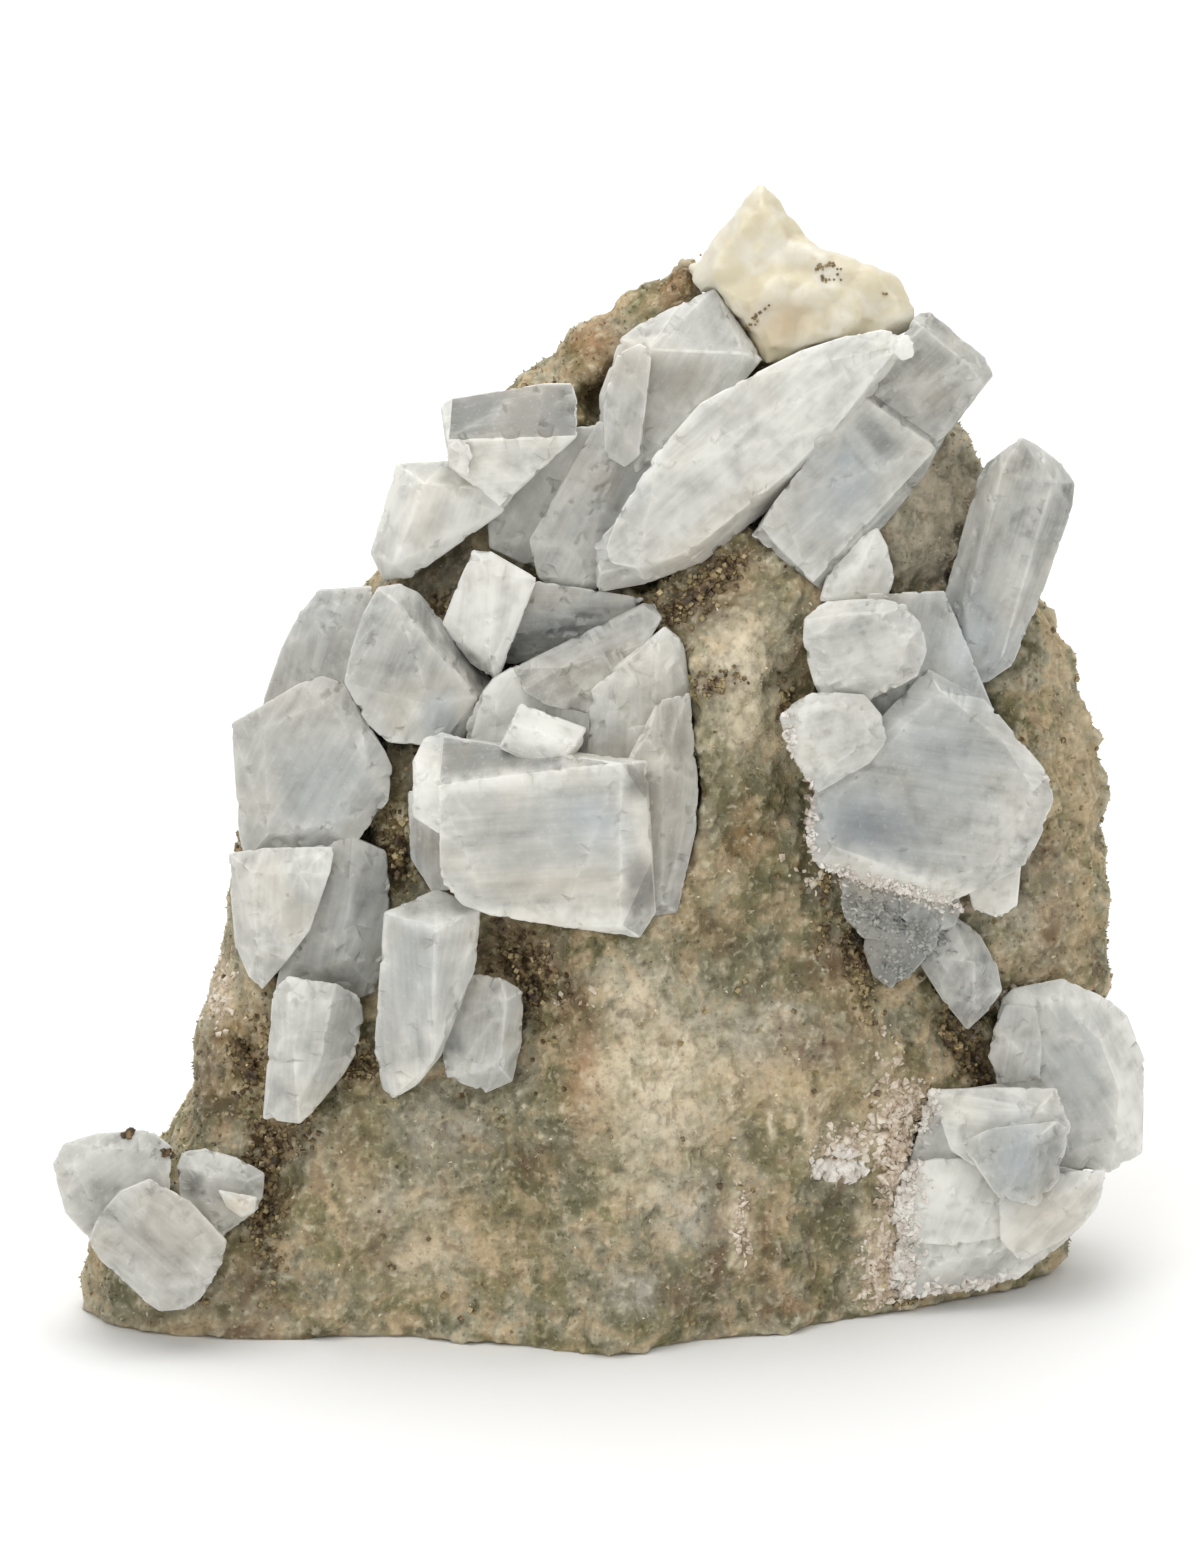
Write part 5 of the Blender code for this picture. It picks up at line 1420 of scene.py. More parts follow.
LEFT = [
    Crystal(-12.8, 9.5, (-0.35, 0.12), 68, 0.36, [
        (-27.3, 52.2, 1.4), (-26.6, 54, 1.4), (-25.5, 57.4, 1.4), (-24, 60.4, 1.4), (-22.5, 62.1, 1.4),
        (-20.4, 62.2, 1.1), (-18.2, 62.4, 1.1), (-18.2, 58), (-19.5, 53.8), (-24, 52.7), (-21.8, 59.4)]),
    Crystal(-15.8, 10, (0.1, 0.14), 66, 0.34, [
        (-20.5, 54.6, 0.9), (-20, 57.2, 0.9), (-19, 60.1, 0.9), (-17.8, 62.3, 1.2), (-16, 62.6, 1.7),
        (-14.6, 62, 1.9), (-12.3, 58.6, 2.5), (-9.7, 55.8, 2.7), (-8.5, 54.7, 2.9), (-16.2, 61),
        (-12.8, 57), (-9.8, 53.4), (-9, 53, 1.7), (-10.1, 51.4, 1.2), (-11, 49.8, 1), (-12.8, 49.5, 0.7),
        (-17, 49.8, 1), (-18.7, 51.4, 1), (-13.6, 52.9, 0.1)]),
    Crystal(-15, 9.5, (-0.2, 0.12), 58, 0.44, [
        (-29.5, 51.4, 1), (-27.5, 52.5, 0.8), (-24, 54.6, 0.8), (-22.2, 55.2, 0.8), (-20.5, 54.6, 0.5),
        (-19, 51.4, 0.2), (-17.2, 49.2, 0.6), (-16.6, 47.9, 1), (-16.9, 45.2, 1.2), (-17.8, 44, 1.2),
        (-19.8, 41.4, 1.2), (-21.6, 41.8, 0.8), (-24.8, 41.1, 0.8), (-28.4, 40.4, 1), (-28.9, 42.4, 1.2),
        (-28, 45.6, 1.2), (-28.3, 47, 1.2), (-29.3, 48.4, 1.2), (-26.9, 51), (-21.6, 53.2), (-18.6, 48),
        (-21.6, 43.3), (-26.6, 42.5)]),
    Crystal(-17.2, 9.5, (-0.25, 0), 82, 0.6, [
        (-29.7, 41, 1), (-27, 41.4, 1), (-24, 41.5, 1), (-21.2, 41.5, 0.8), (-21.6, 39.4, 0.2),
        (-22.6, 37.2, 0.1), (-23.2, 34.8, 0.1), (-25, 32.4, 0.5), (-27, 30.1, 1.2), (-28.1, 31.1, 1.4),
        (-29.2, 33.6, 1.4), (-29.6, 38, 1.4), (-27.7, 39.4), (-27.4, 33.4), (-24, 39.4)]),
    Crystal(-16.4, 9.5, (0.1, 0), 78, 0.42, [
        (-24, 41.2, 0.5), (-19.8, 42.4, 1), (-17.1, 41.2, 1.2), (-16.8, 38.4, 1.2), (-17, 32.4, 1.4),
        (-17.9, 29.8, 1.4), (-20, 29.1, 1.2), (-21.6, 29.9, 1), (-24.8, 30.3, 1), (-26, 29.9, 1),
        (-22.8, 35.6, 0.3), (-20, 39.4), (-20.4, 32.6)]),
    Crystal(-20, 7.5, (0, 0.06), 82, 0.52, [
        (-26.2, 30, 1.2), (-25, 31.2, 0.9), (-21.1, 30.6, 0.6), (-19.1, 29.5, 1.9), (-18.9, 27.6, 2.1),
        (-19.5, 25, 2.1), (-20.4, 23.4, 2.1), (-22.3, 21.9, 1.5), (-22.9, 20.3, 1.1), (-24, 19.3, 0.9),
        (-27, 19.7, 1.1), (-26.5, 22.8, 1.1), (-25.8, 26, 1.1), (-26.2, 28.2, 1.2), (-21.5, 29.2),
        (-22.4, 24.2), (-24.2, 21.2), (-24.8, 29.2)]),
]

LOWER_LEFT = [
    Crystal(-24, 10.5, (0, 0), 88, 0.42, [
        (-17.3, 36.3, 2.2), (-13, 38.2, 5.2), (-9.5, 36.6, 2.7), (-13.2, 35), (-13.4, 24.2),
        (-14.6, 22.4, 0.6), (-16.5, 21.3, 1.2), (-17.4, 22.1, 2), (-18.1, 25.2, 2.2), (-12.7, 24.8, 1.2),
        (-9.9, 31.9, 2.7)]),
    Crystal(-20.8, 7, (0, 0.08), 80, 0.36, [
        (-11.5, 29, 0.5), (-10.2, 31.4, 0.7), (-8, 31.1, 0.7), (-6.1, 30, 1.2), (-6.2, 26, 1.4),
        (-7, 22.7, 1.4), (-9.1, 21.8, 1), (-12.3, 23, 0.6), (-13, 26.6, 0.4), (-7.5, 29.2), (-8, 23.8),
        (-11, 24.4)]),
]

RIGHT = [
    Crystal(-12.4, 7, (0.1, 0.1), 60, 0.62, [
        (17.5, 61.1, 0.4), (18.1, 63.2, 0.8), (19.6, 65.2, 1), (21, 66.5, 1), (22.2, 67.1, 1),
        (23, 65.6, 1), (23.6, 63.2, 0.8), (23, 61.1, 0.6), (20.8, 63.9), (20.6, 62)]),
    Crystal(-10.4, 9.5, (0.1, 0.1), 73, 0.3, [
        (30.2, 71, 2.4), (30.9, 72.2, 2.4), (32.1, 73, 0.8), (33.7, 74.3, 0.9), (34.8, 73.8, 1.3),
        (37, 72.2, 1.9), (38, 70.6, 1.9), (37.8, 68.6, 1.7), (35.2, 61.2, 1.3), (33, 56, 1.3),
        (29.8, 53.8, 0.8), (27.7, 56.4, 1.6), (27.4, 61.2, 2.4), (32.1, 71.6), (29.3, 60.2), (29.5, 55.3),
        (36.2, 70.6), (32.2, 56.8)]),
    Crystal(-16.4, 8, (0.1, 0.08), 15, 0.52, [
        (16.2, 58, 0.6), (16.3, 59.8, 0.6), (18.1, 61.2, 0.6), (20.2, 61, 0.54), (22.4, 61.4, 0.6),
        (23.8, 60.6, 0.54), (24.6, 60.9, 0.6), (25.8, 59.2, 0.66), (26.2, 57.2, 0.66), (25.5, 55.2, 0.66),
        (24, 54.8, 0.6), (23.2, 53.9, 0.66), (21.6, 53.2, 0.66), (19.2, 54, 0.6), (17.3, 53.8, 0.66),
        (16.6, 56.2, 0.66), (17.4, 58), (18.9, 60.1), (22.4, 60.2), (24.7, 58), (23.8, 55.4),
        (18.9, 54.7)]),
    Crystal(-18, 8, (0.1, 0.08), 15, 0.46, [
        (14.3, 51.9, 0.54), (15.6, 53.2, 0.54), (17.3, 54, 0.54), (19.4, 53.4, 0.48), (21.2, 53.7, 0.54),
        (22.6, 52, 0.54), (23, 50, 0.54), (21.6, 48.2, 0.54), (19.6, 47, 0.54), (18.1, 46.4, 0.66),
        (17.4, 45.8, 0.72), (16, 47.5, 0.6), (15, 49.6, 0.6), (16, 51.4), (17.6, 52.7), (20.8, 52.6),
        (21.7, 50.2), (18.4, 47.7)]),
    Crystal(-15.6, 10.5, (0.18, 0.14), -10, 0.38, [
        (17.2, 46.4, 0.56), (20, 47.8, 0.56), (22.8, 49.7, 0.42), (24.2, 53.2, 0.56), (26.2, 55.8, 0.7),
        (30.8, 53.4, 0.7), (32.2, 51.4, 0.63), (33.7, 50, 0.7), (35.2, 48.2, 0.7), (36, 47.2, 0.77),
        (36.3, 45.2, 0.77), (35.3, 42.4, 0.77), (34.1, 40, 0.84), (32.2, 39, 0.84), (30.8, 38.4, 0.84),
        (28.8, 37.4, 0.98), (27.2, 37, 0.98), (24, 37.8, 0.98), (20.8, 39, 1.05), (17.4, 39.8, 1.12),
        (16.5, 42, 0.98), (16.9, 45.2, 0.77), (19, 45.5), (27.2, 54), (32.3, 49.8), (34.7, 46),
        (32.6, 40.6), (26.8, 38.6, 0.07), (18.6, 41.5)]),
    Crystal(-11.6, 7.5, (0, 0), 20, 0.62, [
        (29, 39.8), (33.8, 41.2), (33.4, 36.8, 0.4), (32.6, 36.1, 0.4), (31.5, 35.9, 0.4),
        (29.8, 36.6, 0.2)]),
    Crystal(-13.6, 10.5, (0.1, 0.1), 78, 0.3, [
        (21.4, 61.8), (27.6, 62), (30.8, 53.6), (32, 51.2), (28.8, 48.4), (23, 49.6, 0.3),
        (20.8, 50.2, 0.6), (20.6, 54, 0.6), (22.4, 56)]),
    Crystal(-12.6, 7, (0.05, 0.05), 60, 0.26, [
        (26, 35.1, 1), (28, 36.2, 1.9), (30.2, 34.8, 1.9), (31.8, 32, 1.4), (32.2, 30, 1.2), (31, 28.3, 1),
        (29.4, 26.8, 1), (27.4, 29.2, 0.8), (25.5, 32.2, 0.8), (26.9, 32.6), (29.9, 32.2), (30, 28.9)]),
    Crystal(-13.4, 6.5, (0.25, -0.1), 20, 0.04, [
        (19.2, 38.6, 0.6), (19.7, 39.1, 0.4), (24.4, 38.5, 0.2), (25.1, 37), (25, 35.2, 0.1),
        (22.9, 33.9, 0.3), (21, 34.2, 0.5), (19.4, 36, 0.6), (21.8, 36.8)]),
    Crystal(-13, 6.5, (-0.15, 0.25), 70, -0.12, [
        (21.3, 34.8, 0.4), (23.2, 36.2, 0.1), (26.4, 36.8, 0.1), (27.2, 35.4, 0.1), (26.9, 33.4, 0.3),
        (25, 31.4, 0.5), (23.2, 30.1, 0.7), (21.8, 31.2, 0.6), (21, 33.2, 0.5), (24.2, 34.2)]),
    Crystal(-12.7, 6.5, (0.3, 0.1), 45, 0.1, [
        (23.8, 38.8, 0.4), (28, 38.5, 0.6), (29.1, 36.6, 0.6), (28.4, 35.1, 0.5), (26, 34.2, 0.3),
        (24, 35.8, 0.1), (26.4, 36.8)]),
    Crystal(-13.9, 4, (0.2, 0.3), 45, 0.18, [
        (20.2, 37.8, 0.3), (21.4, 38.5, 0.1), (22.7, 37.8, 0.1), (22.6, 36.4, 0.2), (21.1, 35.9, 0.4),
        (21.4, 37.2)]),
]

FOOT_LEFT = [
    Crystal(-19.8, 8.5, (-0.1, 0.15), 40, 0.4, [
        (-43.8, 16.2, 0.61), (-42.9, 17.8, 0.61), (-40.2, 18.6, 0.61), (-38.4, 18.5, 0.61),
        (-36, 18.9, 0.61), (-34.2, 17.5, 0.61), (-34.4, 14, 0.39), (-38.2, 10, 0.44), (-40.6, 9.8, 0.61),
        (-41.8, 11.1, 0.61), (-42.8, 12.2, 0.66), (-43.5, 14.8, 0.61), (-42.1, 16.2), (-40, 17.4),
        (-36, 17.2), (-36.6, 13.2), (-40.3, 11.9)]),
    Crystal(-22.4, 8.5, (0, 0.12), -42, 0.36, [
        (-40.9, 10, 0.55), (-40.2, 12, 0.55), (-38.4, 14, 0.44), (-36, 15, 0.44), (-32.8, 13.2, 0.44),
        (-29.8, 10, 0.55), (-30.2, 8.2, 0.61), (-31, 6.6, 0.61), (-32, 5.3, 0.66), (-33.1, 4.5, 0.66),
        (-35.2, 4.3, 0.66), (-36.4, 5.1, 0.66), (-38.6, 7.4, 0.61), (-40.5, 8.9, 0.61), (-38.7, 11.1),
        (-36, 13.2), (-33.1, 11.9), (-31.1, 9.5), (-32.8, 6.5), (-35.5, 6.1), (-38, 8.7)]),
    Crystal(-19.6, 6.5, (0.05, 0.1), -20, 0.36, [
        (-33.9, 15.9, 0.7), (-33.4, 17.2, 0.8), (-31.6, 17.4, 1), (-28.8, 16.6, 1), (-26.8, 15.4, 1),
        (-27, 12.8, 0.8), (-28.4, 11.8, 0.7), (-31, 9.5, 0.6), (-33.5, 11.9, 0.4), (-32.3, 15.9),
        (-28.2, 14.8), (-30.7, 11.3)]),
    Crystal(-20.8, 3.5, (0, 0.1), 10, 0.62, [
        (-30.6, 14.1, 0.3), (-27.4, 13.5, 0.4), (-27.6, 12.2, 0.5), (-28.7, 11.8, 0.5), (-29.9, 12.7, 0.4),
        (-28.8, 13)]),
]

FOOT_RIGHT = [
    Crystal(-8.6, 11, (0.22, 0.08), -55, 0.56, [
        (31.2, 24.8, 0.78), (31.4, 26.8, 0.65), (32.2, 29.4, 0.72), (33, 30.2, 0.72), (35.2, 30.5, 0.78),
        (37, 31, 0.78), (38.9, 30, 0.91), (40.8, 29.3, 1.04), (42.2, 28, 1.1), (42.6, 26, 1.1),
        (43.6, 24.4, 1.17), (43, 22, 1.17), (43.4, 19.6, 1.17), (43.4, 17, 1.1), (40.8, 15.4, 0.91),
        (36.8, 15.8, 0.65), (32, 21.5, 0.65), (33.1, 28.4), (36.8, 29.2), (40, 26), (41.5, 22), (41.3, 18),
        (37.6, 17.2), (33, 23.1)]),
    Crystal(-10.2, 6, (0.22, 0.08), 80, 0.34, [
        (31, 24.7, 0.7), (31.5, 27, 0.7), (32.4, 29, 0.6), (34.9, 28.7, 0.3), (35.4, 26, 0.2),
        (35.3, 22.8, 0.3), (32.2, 22.5, 0.5), (32.8, 26)]),
    Crystal(-11.4, 9, (0.18, 0.05), 60, 0.58, [
        (26.6, 21.8, 0.5), (32, 22.6, 0.7), (36.8, 21.2, 0.9), (37.4, 19.2, 0.9), (30.8, 13.6),
        (28, 9, 0.5), (24.4, 5.5, 1), (24, 9.2, 1), (24.1, 14.8, 1), (27.2, 18, 0.5)]),
    Crystal(-10.8, 9, (0.25, 0.05), 40, 0.66, [
        (32, 13.2), (36.8, 16, 0.3), (40.5, 15.1, 0.8), (39.9, 12.8, 1), (38.4, 11, 1), (36.9, 9.6, 1),
        (33.6, 7, 1), (29.6, 6.2, 1), (24.4, 5.5, 1), (25, 10, 0.4)]),
    Crystal(-12.7, 6, (0.18, 0.05), -8, 0.66, [
        (26.4, 22.1, 0.5), (31.2, 21.6, 0.6), (32.1, 22.3, 0.8), (36.6, 22.2, 1), (37.7, 19.2, 1),
        (37, 16, 0.8), (32, 15.4, 0.1), (30, 15.9, 0.1), (28, 17.2, 0.2), (27.1, 19.6, 0.4), (35.2, 20.6),
        (28.8, 20.4)]),
    Crystal(-13.9, 6, (0.18, 0.05), 75, 0.38, [
        (28.8, 17.8, 0.4), (31.2, 19, 0.5), (36.6, 19.6, 0.8), (37.4, 19, 1), (36.7, 14.8, 0.7),
        (34.9, 12.7, 0.4), (31.8, 13.4, 0.2), (30.2, 15.8, 0.2), (35.2, 18.4), (31.4, 17.2), (32.8, 14.2)]),
    Crystal(-13.2, 6, (0.18, 0.05), 70, 0.74, [
        (24, 14.3, 0.9), (24.5, 15.6, 0.8), (25.4, 16.2, 0.7), (26.8, 16.6, 0.7), (30.6, 16.6, 0.6),
        (33.3, 13.4, 0.7), (32.6, 10.3, 0.7), (28, 9.5, 0.5), (24.2, 10, 0.8), (23.4, 11.8, 1.1),
        (23.9, 13.2, 1), (26.8, 14.8), (29.6, 12.8)]),
    Crystal(-12.4, 6, (0.18, 0.05), 60, 0.58, [
        (24, 10, 0.9), (28, 11, 0.4), (32, 12, 0.2), (35.2, 10.6, 0.5), (33.9, 8.2, 0.8), (30.8, 6.2, 1.1),
        (27.2, 5.8, 1.2), (24.2, 5.4, 1.4), (23.1, 6.5, 1.3), (23.7, 8.2, 1.1), (27.2, 8.2), (31.2, 8.8)]),
    Crystal(-12, 6, (0.18, 0.05), 50, 0.7, [
        (31.8, 13.5, 0.2), (34.9, 13.2, 0.3), (37, 15.6, 0.8), (40.5, 15.7, 1.2), (39.8, 12.6, 1.5),
        (38.6, 11.2, 1.5), (36.8, 9.9, 1.5), (33.6, 8.2, 1.1), (32, 10, 0.4), (36, 13.2), (36.8, 12)]),
]

CRYSTALS: dict[str, list[Crystal]] = {
    "barite_crest": CREST, "barite_centre": CENTRE,
    "barite_left": LEFT, "barite_lower_left": LOWER_LEFT,
    "barite_right": RIGHT, "barite_foot_left": FOOT_LEFT,
    "barite_foot_right": FOOT_RIGHT,
}

# Faces with a set shade: a place in the front view, and the shade. The low shades of several top faces are
# painted shade.
FACE_TONES: list[tuple[float, float, float]] = [
    (-11.6, 77, 0.04), (-9.6, 77.5, 0.04), (-8, 76, 0.04), (-5.6, 78.2, 0.04),
    (-4.4, 76.2, 0.04), (-14, 71.4, 0.62), (-17.2, 66.4, 0.7), (24.4, 76.4, 0.26), (26.4, 81.6, 0.3),
    (7.2, 83.2, 0.46), (1.6, 75.6, 0.5), (8, 79.2, 0.52), (-9.6, 48.6, 0.1), (-6.4, 48, 0.1),
    (3.2, 42.8, 0.62), (3.2, 46.8, 0.22), (3.2, 38, 0.24), (-6.4, 41.2, 0.56), (5.6, 56.4, 0.6),
    (5.8, 51.6, 0.34), (1.6, 51.6, 0.3), (0, 57.2, 0.3), (-4, 52.2, 0.78), (-5.2, 49.2, 0.76),
    (6.6, 42.8, 0.22), (2.4, 50, 0.36), (-10.4, 60.4, 0.78), (-8.4, 60.4, 0.7), (-13.6, 36.8, 0.58),
    (-15.6, 30, 0.48), (-11.4, 32.4, 0.58), (28.8, 64.4, 0.46), (32.8, 64.4, 0.34),
    (36, 71.6, 0.42), (31.2, 54, 0.44), (-24, 27.6, 0.58), (-20, 27.6, 0.4),
    (-12, 54, 0.4), (-10.8, 56.4, 0.22), (-14.4, 60, 0.3), (-11.6, 51.2, 0.5),
    (28.6, 34.4, 0.46), (29.6, 30.4, 0.32), (39.2, 28.4, 0.6), (42.4, 22.8, 0.72), (16, 69.6, 0.54),
    (3.2, 62.8, 0.48), (9.6, 66, 0.56), (22.4, 78.8, 0.6), (21.6, 38.8, 0.62), (34.8, 41.2, 0.66),
    (17.2, 43.6, 0.5), (34.4, 48.4, 0.56),
]


@dataclass
class BariteCluster:
    """One cluster of barite crystals, with worn edges, growth steps and lines.

    Attributes:
        node: The solid that the cluster replaces.
        fine: Distance between the points on the faces that are seen from the front, in mm.
        coarse: The same for the other faces.
        worn_width: Width of the worn edges, in mm.
        chip: Greatest depth of the chips along the edges, in mm.
        step: Height of the growth steps, in mm.
        line: Height of the growth lines, in mm.
        rim: How far the painted glow along the rims of the faces reaches inwards, in mm.
        tint_warp: How far the edges of the patches wander, in mm.
        tone_spread: How much the shades of a crystal's faces differ, either way.
        alike: The least cosine between faces that share a shade set in FACE_TONES.
        sharp: The least angle of an edge that stays crisp, in radians.
    """

    node: str
    fine: float = 0.27
    coarse: float = 0.8
    worn_width: float = 0.13
    chip: float = 0.30
    step: float = 0.05
    line: float = 0.035
    rim: float = 0.55
    tint_warp: float = 0.4
    tone_spread: float = 0.05
    alike: float = 0.985
    sharp: float = math.radians(30.0)

    def build(self) -> Object:
        """Makes the cluster's skin and returns its object."""
        crystals = CRYSTALS[self.node]
        solid = united([crystal.solid(number, self.worn_width)
                        for number, crystal in enumerate(crystals)])
        skin = FacetSkin(solid, crystals, self.fine, self.coarse)
        places = skin.places
        tones = self.tones(skin, crystals)
        skin.places = places + self.relief(skin, places)
        for tint, spots in BARITE_PATCHES.items():
            skin.write(tint.value, tint_weights(spots, places, self.tint_warp))
        skin.write_faces("tone", tones[skin.face_home])
        skin.write_faces("bevelled", skin.of_facets("bevelled").astype(float)[skin.face_home])
        facing = front_share(skin.normals, 0.0, 0.5)
        # Painted glow along the rims of the faces, strongest on faces turned to the front view
        skin.write("rim", np.exp(-skin.inset / self.rim) * (0.3 + 0.7 * facing))
        skin.lay_lines(LINES, places)
        piece = skin.crisp(self.node + "_crystals", self.sharp)
        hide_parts(self.node)
        return piece

    def tones(self, skin: FacetSkin, crystals: list[Crystal]) -> Array:
        """Gives the shade of each facet: that of its crystal, or the one that FACE_TONES sets for it, which
        for several top faces is painted shade.

        Args:
            skin: The cluster's skin.
            crystals: Its crystals.

        Returns:
            One shade for each facet.
        """
        rng = np.random.default_rng(17)
        tones = np.array([crystals[facet.crystal].tone for facet in skin.facets])
        tones = tones + rng.uniform(-self.tone_spread, self.tone_spread, len(tones))
        tree = BVHTree.FromPolygons(skin.places.tolist(),
                                    [tuple(face.vertices) for face in skin.mesh.polygons])
        for x, h, tone in FACE_TONES:
            face = tree.ray_cast(*VIEW.ray(x, h))[2]
            if face is None:
                continue
            marked = skin.facets[skin.face_home[face]]
            alike = skin.of_facets("outward") @ marked.outward > self.alike
            tones[alike & (skin.of_facets("crystal") == marked.crystal)] = tone
        return tones

    def relief(self, skin: FacetSkin, places: Array) -> Array:
        """Gives how each point moves: chips along the edges, steps and lines on the faces.

        Args:
            skin: The cluster's skin.
            places: The places of its points, in mm.

        Returns:
            One move for each point, in mm.
        """
        edge = skin.home < 0
        outward = np.where(edge[:, None], skin.normals, skin.of_facets("outward")[skin.home])
        along, across = skin.on_facets(places, skin.home)
        apart = skin.home * 3.7
        near_rim = np.exp(-(skin.inset / 0.45) ** 2)
        chips = smooth_step(rough(places, 1.1, 7.0) + 0.6 * rough(places, 0.45, 9.0), 0.10, 0.6)
        lines = rough(np.stack([along / 5.0, across / 0.55, apart], axis=1), 1.0)
        steps = 1.7 * rough(np.stack([along / 4.0, across / 1.5, apart + 0.5], axis=1), 1.0)
        steps += 0.8 * skin.inset.clip(0.0, 3.0)
        risers = np.floor(steps) + smooth_step(steps - np.floor(steps), 0.0, 0.7)
        flat = smooth_step(skin.inset, 0.1, 0.9) * ~edge
        frost = tint_weights(BARITE_PATCHES[Tint.FROST], places, 0.6)
        heights = -self.chip * near_rim * chips
        heights += flat * (self.line * lines + self.step * (risers - 1.2) * 0.6)
        heights += 0.22 * frost * (grains(places, 0.55, 3.0) - 0.2)
        return outward * heights[:, None]

    def dress(self, piece: Object, finishes: Finishes) -> None:
        """Gives the cluster its finish."""
        dressed(piece, finishes["barite"])


@dataclass
class CalciteCrest:
    """The rough cream calcite mass at the peak.

    Attributes:
        node: The solid that the crest replaces.
        voxel: Distance between its points, in mm.
        smoothing: How many times its skin is smoothed before it is shaped.
        lumps: Wavelength and height in mm of each layer of lumps.
        blocks: Size and height in mm of its blocky crystals.
        grain: Size and height in mm of its fine grains.
    """

    node: str = "calcite_crest"
    voxel: float = 0.28
    smoothing: int = 4
    lumps: list[tuple[float, float]] = field(
        default_factory=lambda: [(3.6, 0.35), (1.7, 0.16), (0.8, 0.08)])
    blocks: tuple[float, float] = (2.6, 0.5)
    grain: tuple[float, float] = (0.7, 0.08)

    def build(self) -> Object:
        """Makes the crest's skin and returns its object."""
        skin = Skin.from_node(self.node, self.voxel, self.smoothing)
        places = skin.places
        heights = sum(rough(places, length, 8.0) * height for length, height in self.lumps)
        heights += self.blocks[1] * (grains(places, self.blocks[0], 5.0) - 0.5)
        skin.push(heights + self.grain[1] * grains(places, self.grain[0], 5.0))
        skin.write(Tint.WARM.value, tint_weights(CALCITE_PATCHES, skin.places, 0.8))
        piece = skin.finished("calcite_mass")
        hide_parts(self.node)
        return piece

    def dress(self, piece: Object, finishes: Finishes) -> None:
        """Gives the crest its finish."""
        dressed(piece, finishes["calcite"])


@dataclass
class PyriteSeam:
    """One seam of pyrite: a dull granular crust, which small cubes are strewn over.

    Attributes:
        node: The solid that the crust replaces.
        voxel: Distance between the crust's points, in mm.
        smoothing: How many times the crust is smoothed before it is shaped.
        relief: Height in mm of its lumps and of its grains.
        lump: Wavelength of the lumps, in mm.
        grain: Size of the grains, in mm.
        cubes_per_area: How many cubes sit on each square mm.
        cube_sizes: Smallest and largest cube, in mm.
    """

    node: str
    voxel: float = 0.30
    smoothing: int = 2
    relief: float = 0.35
    lump: float = 0.9
    grain: float = 0.5
    cubes_per_area: float = 5.0
    cube_sizes: tuple[float, float] = (0.14, 0.42)

    def build(self) -> tuple[Object, Object]:
        """Makes the crust and its cubes, and returns both objects."""
        skin = Skin.from_node(self.node, self.voxel, self.smoothing)
        places = skin.places
        lumps = rough(places, self.lump, 4.0)
        skin.push(self.relief * lumps + self.relief * (grains(places, self.grain) - 0.9))
        area = sum(face.area for face in skin.mesh.polygons)
        crust = skin.finished(self.node + "_crust")
        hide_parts(self.node)
        cubes = Druse(self.node + "_cubes", self.node, "pyrite", "pyrite", Form.CUBE,
                      int(area * self.cubes_per_area), self.cube_sizes, 0.3, [], len(self.node), 1.0)
        return crust, cubes.build(crust)

    def dress(self, crust: Object, cubes: Object, finishes: Finishes) -> None:
        """Gives the crust and the cubes their finishes."""
        dressed(crust, finishes["pyrite_crust"])
        dressed(cubes, finishes["pyrite"])


def dressed(piece: Object, finish: Material) -> None:
    """Gives a piece what the record needs.

    Args:
        piece: The piece.
        finish: Its material.
    """
    piece.data.materials.clear()
    piece.data.materials.append(finish)
    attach(piece, "root")


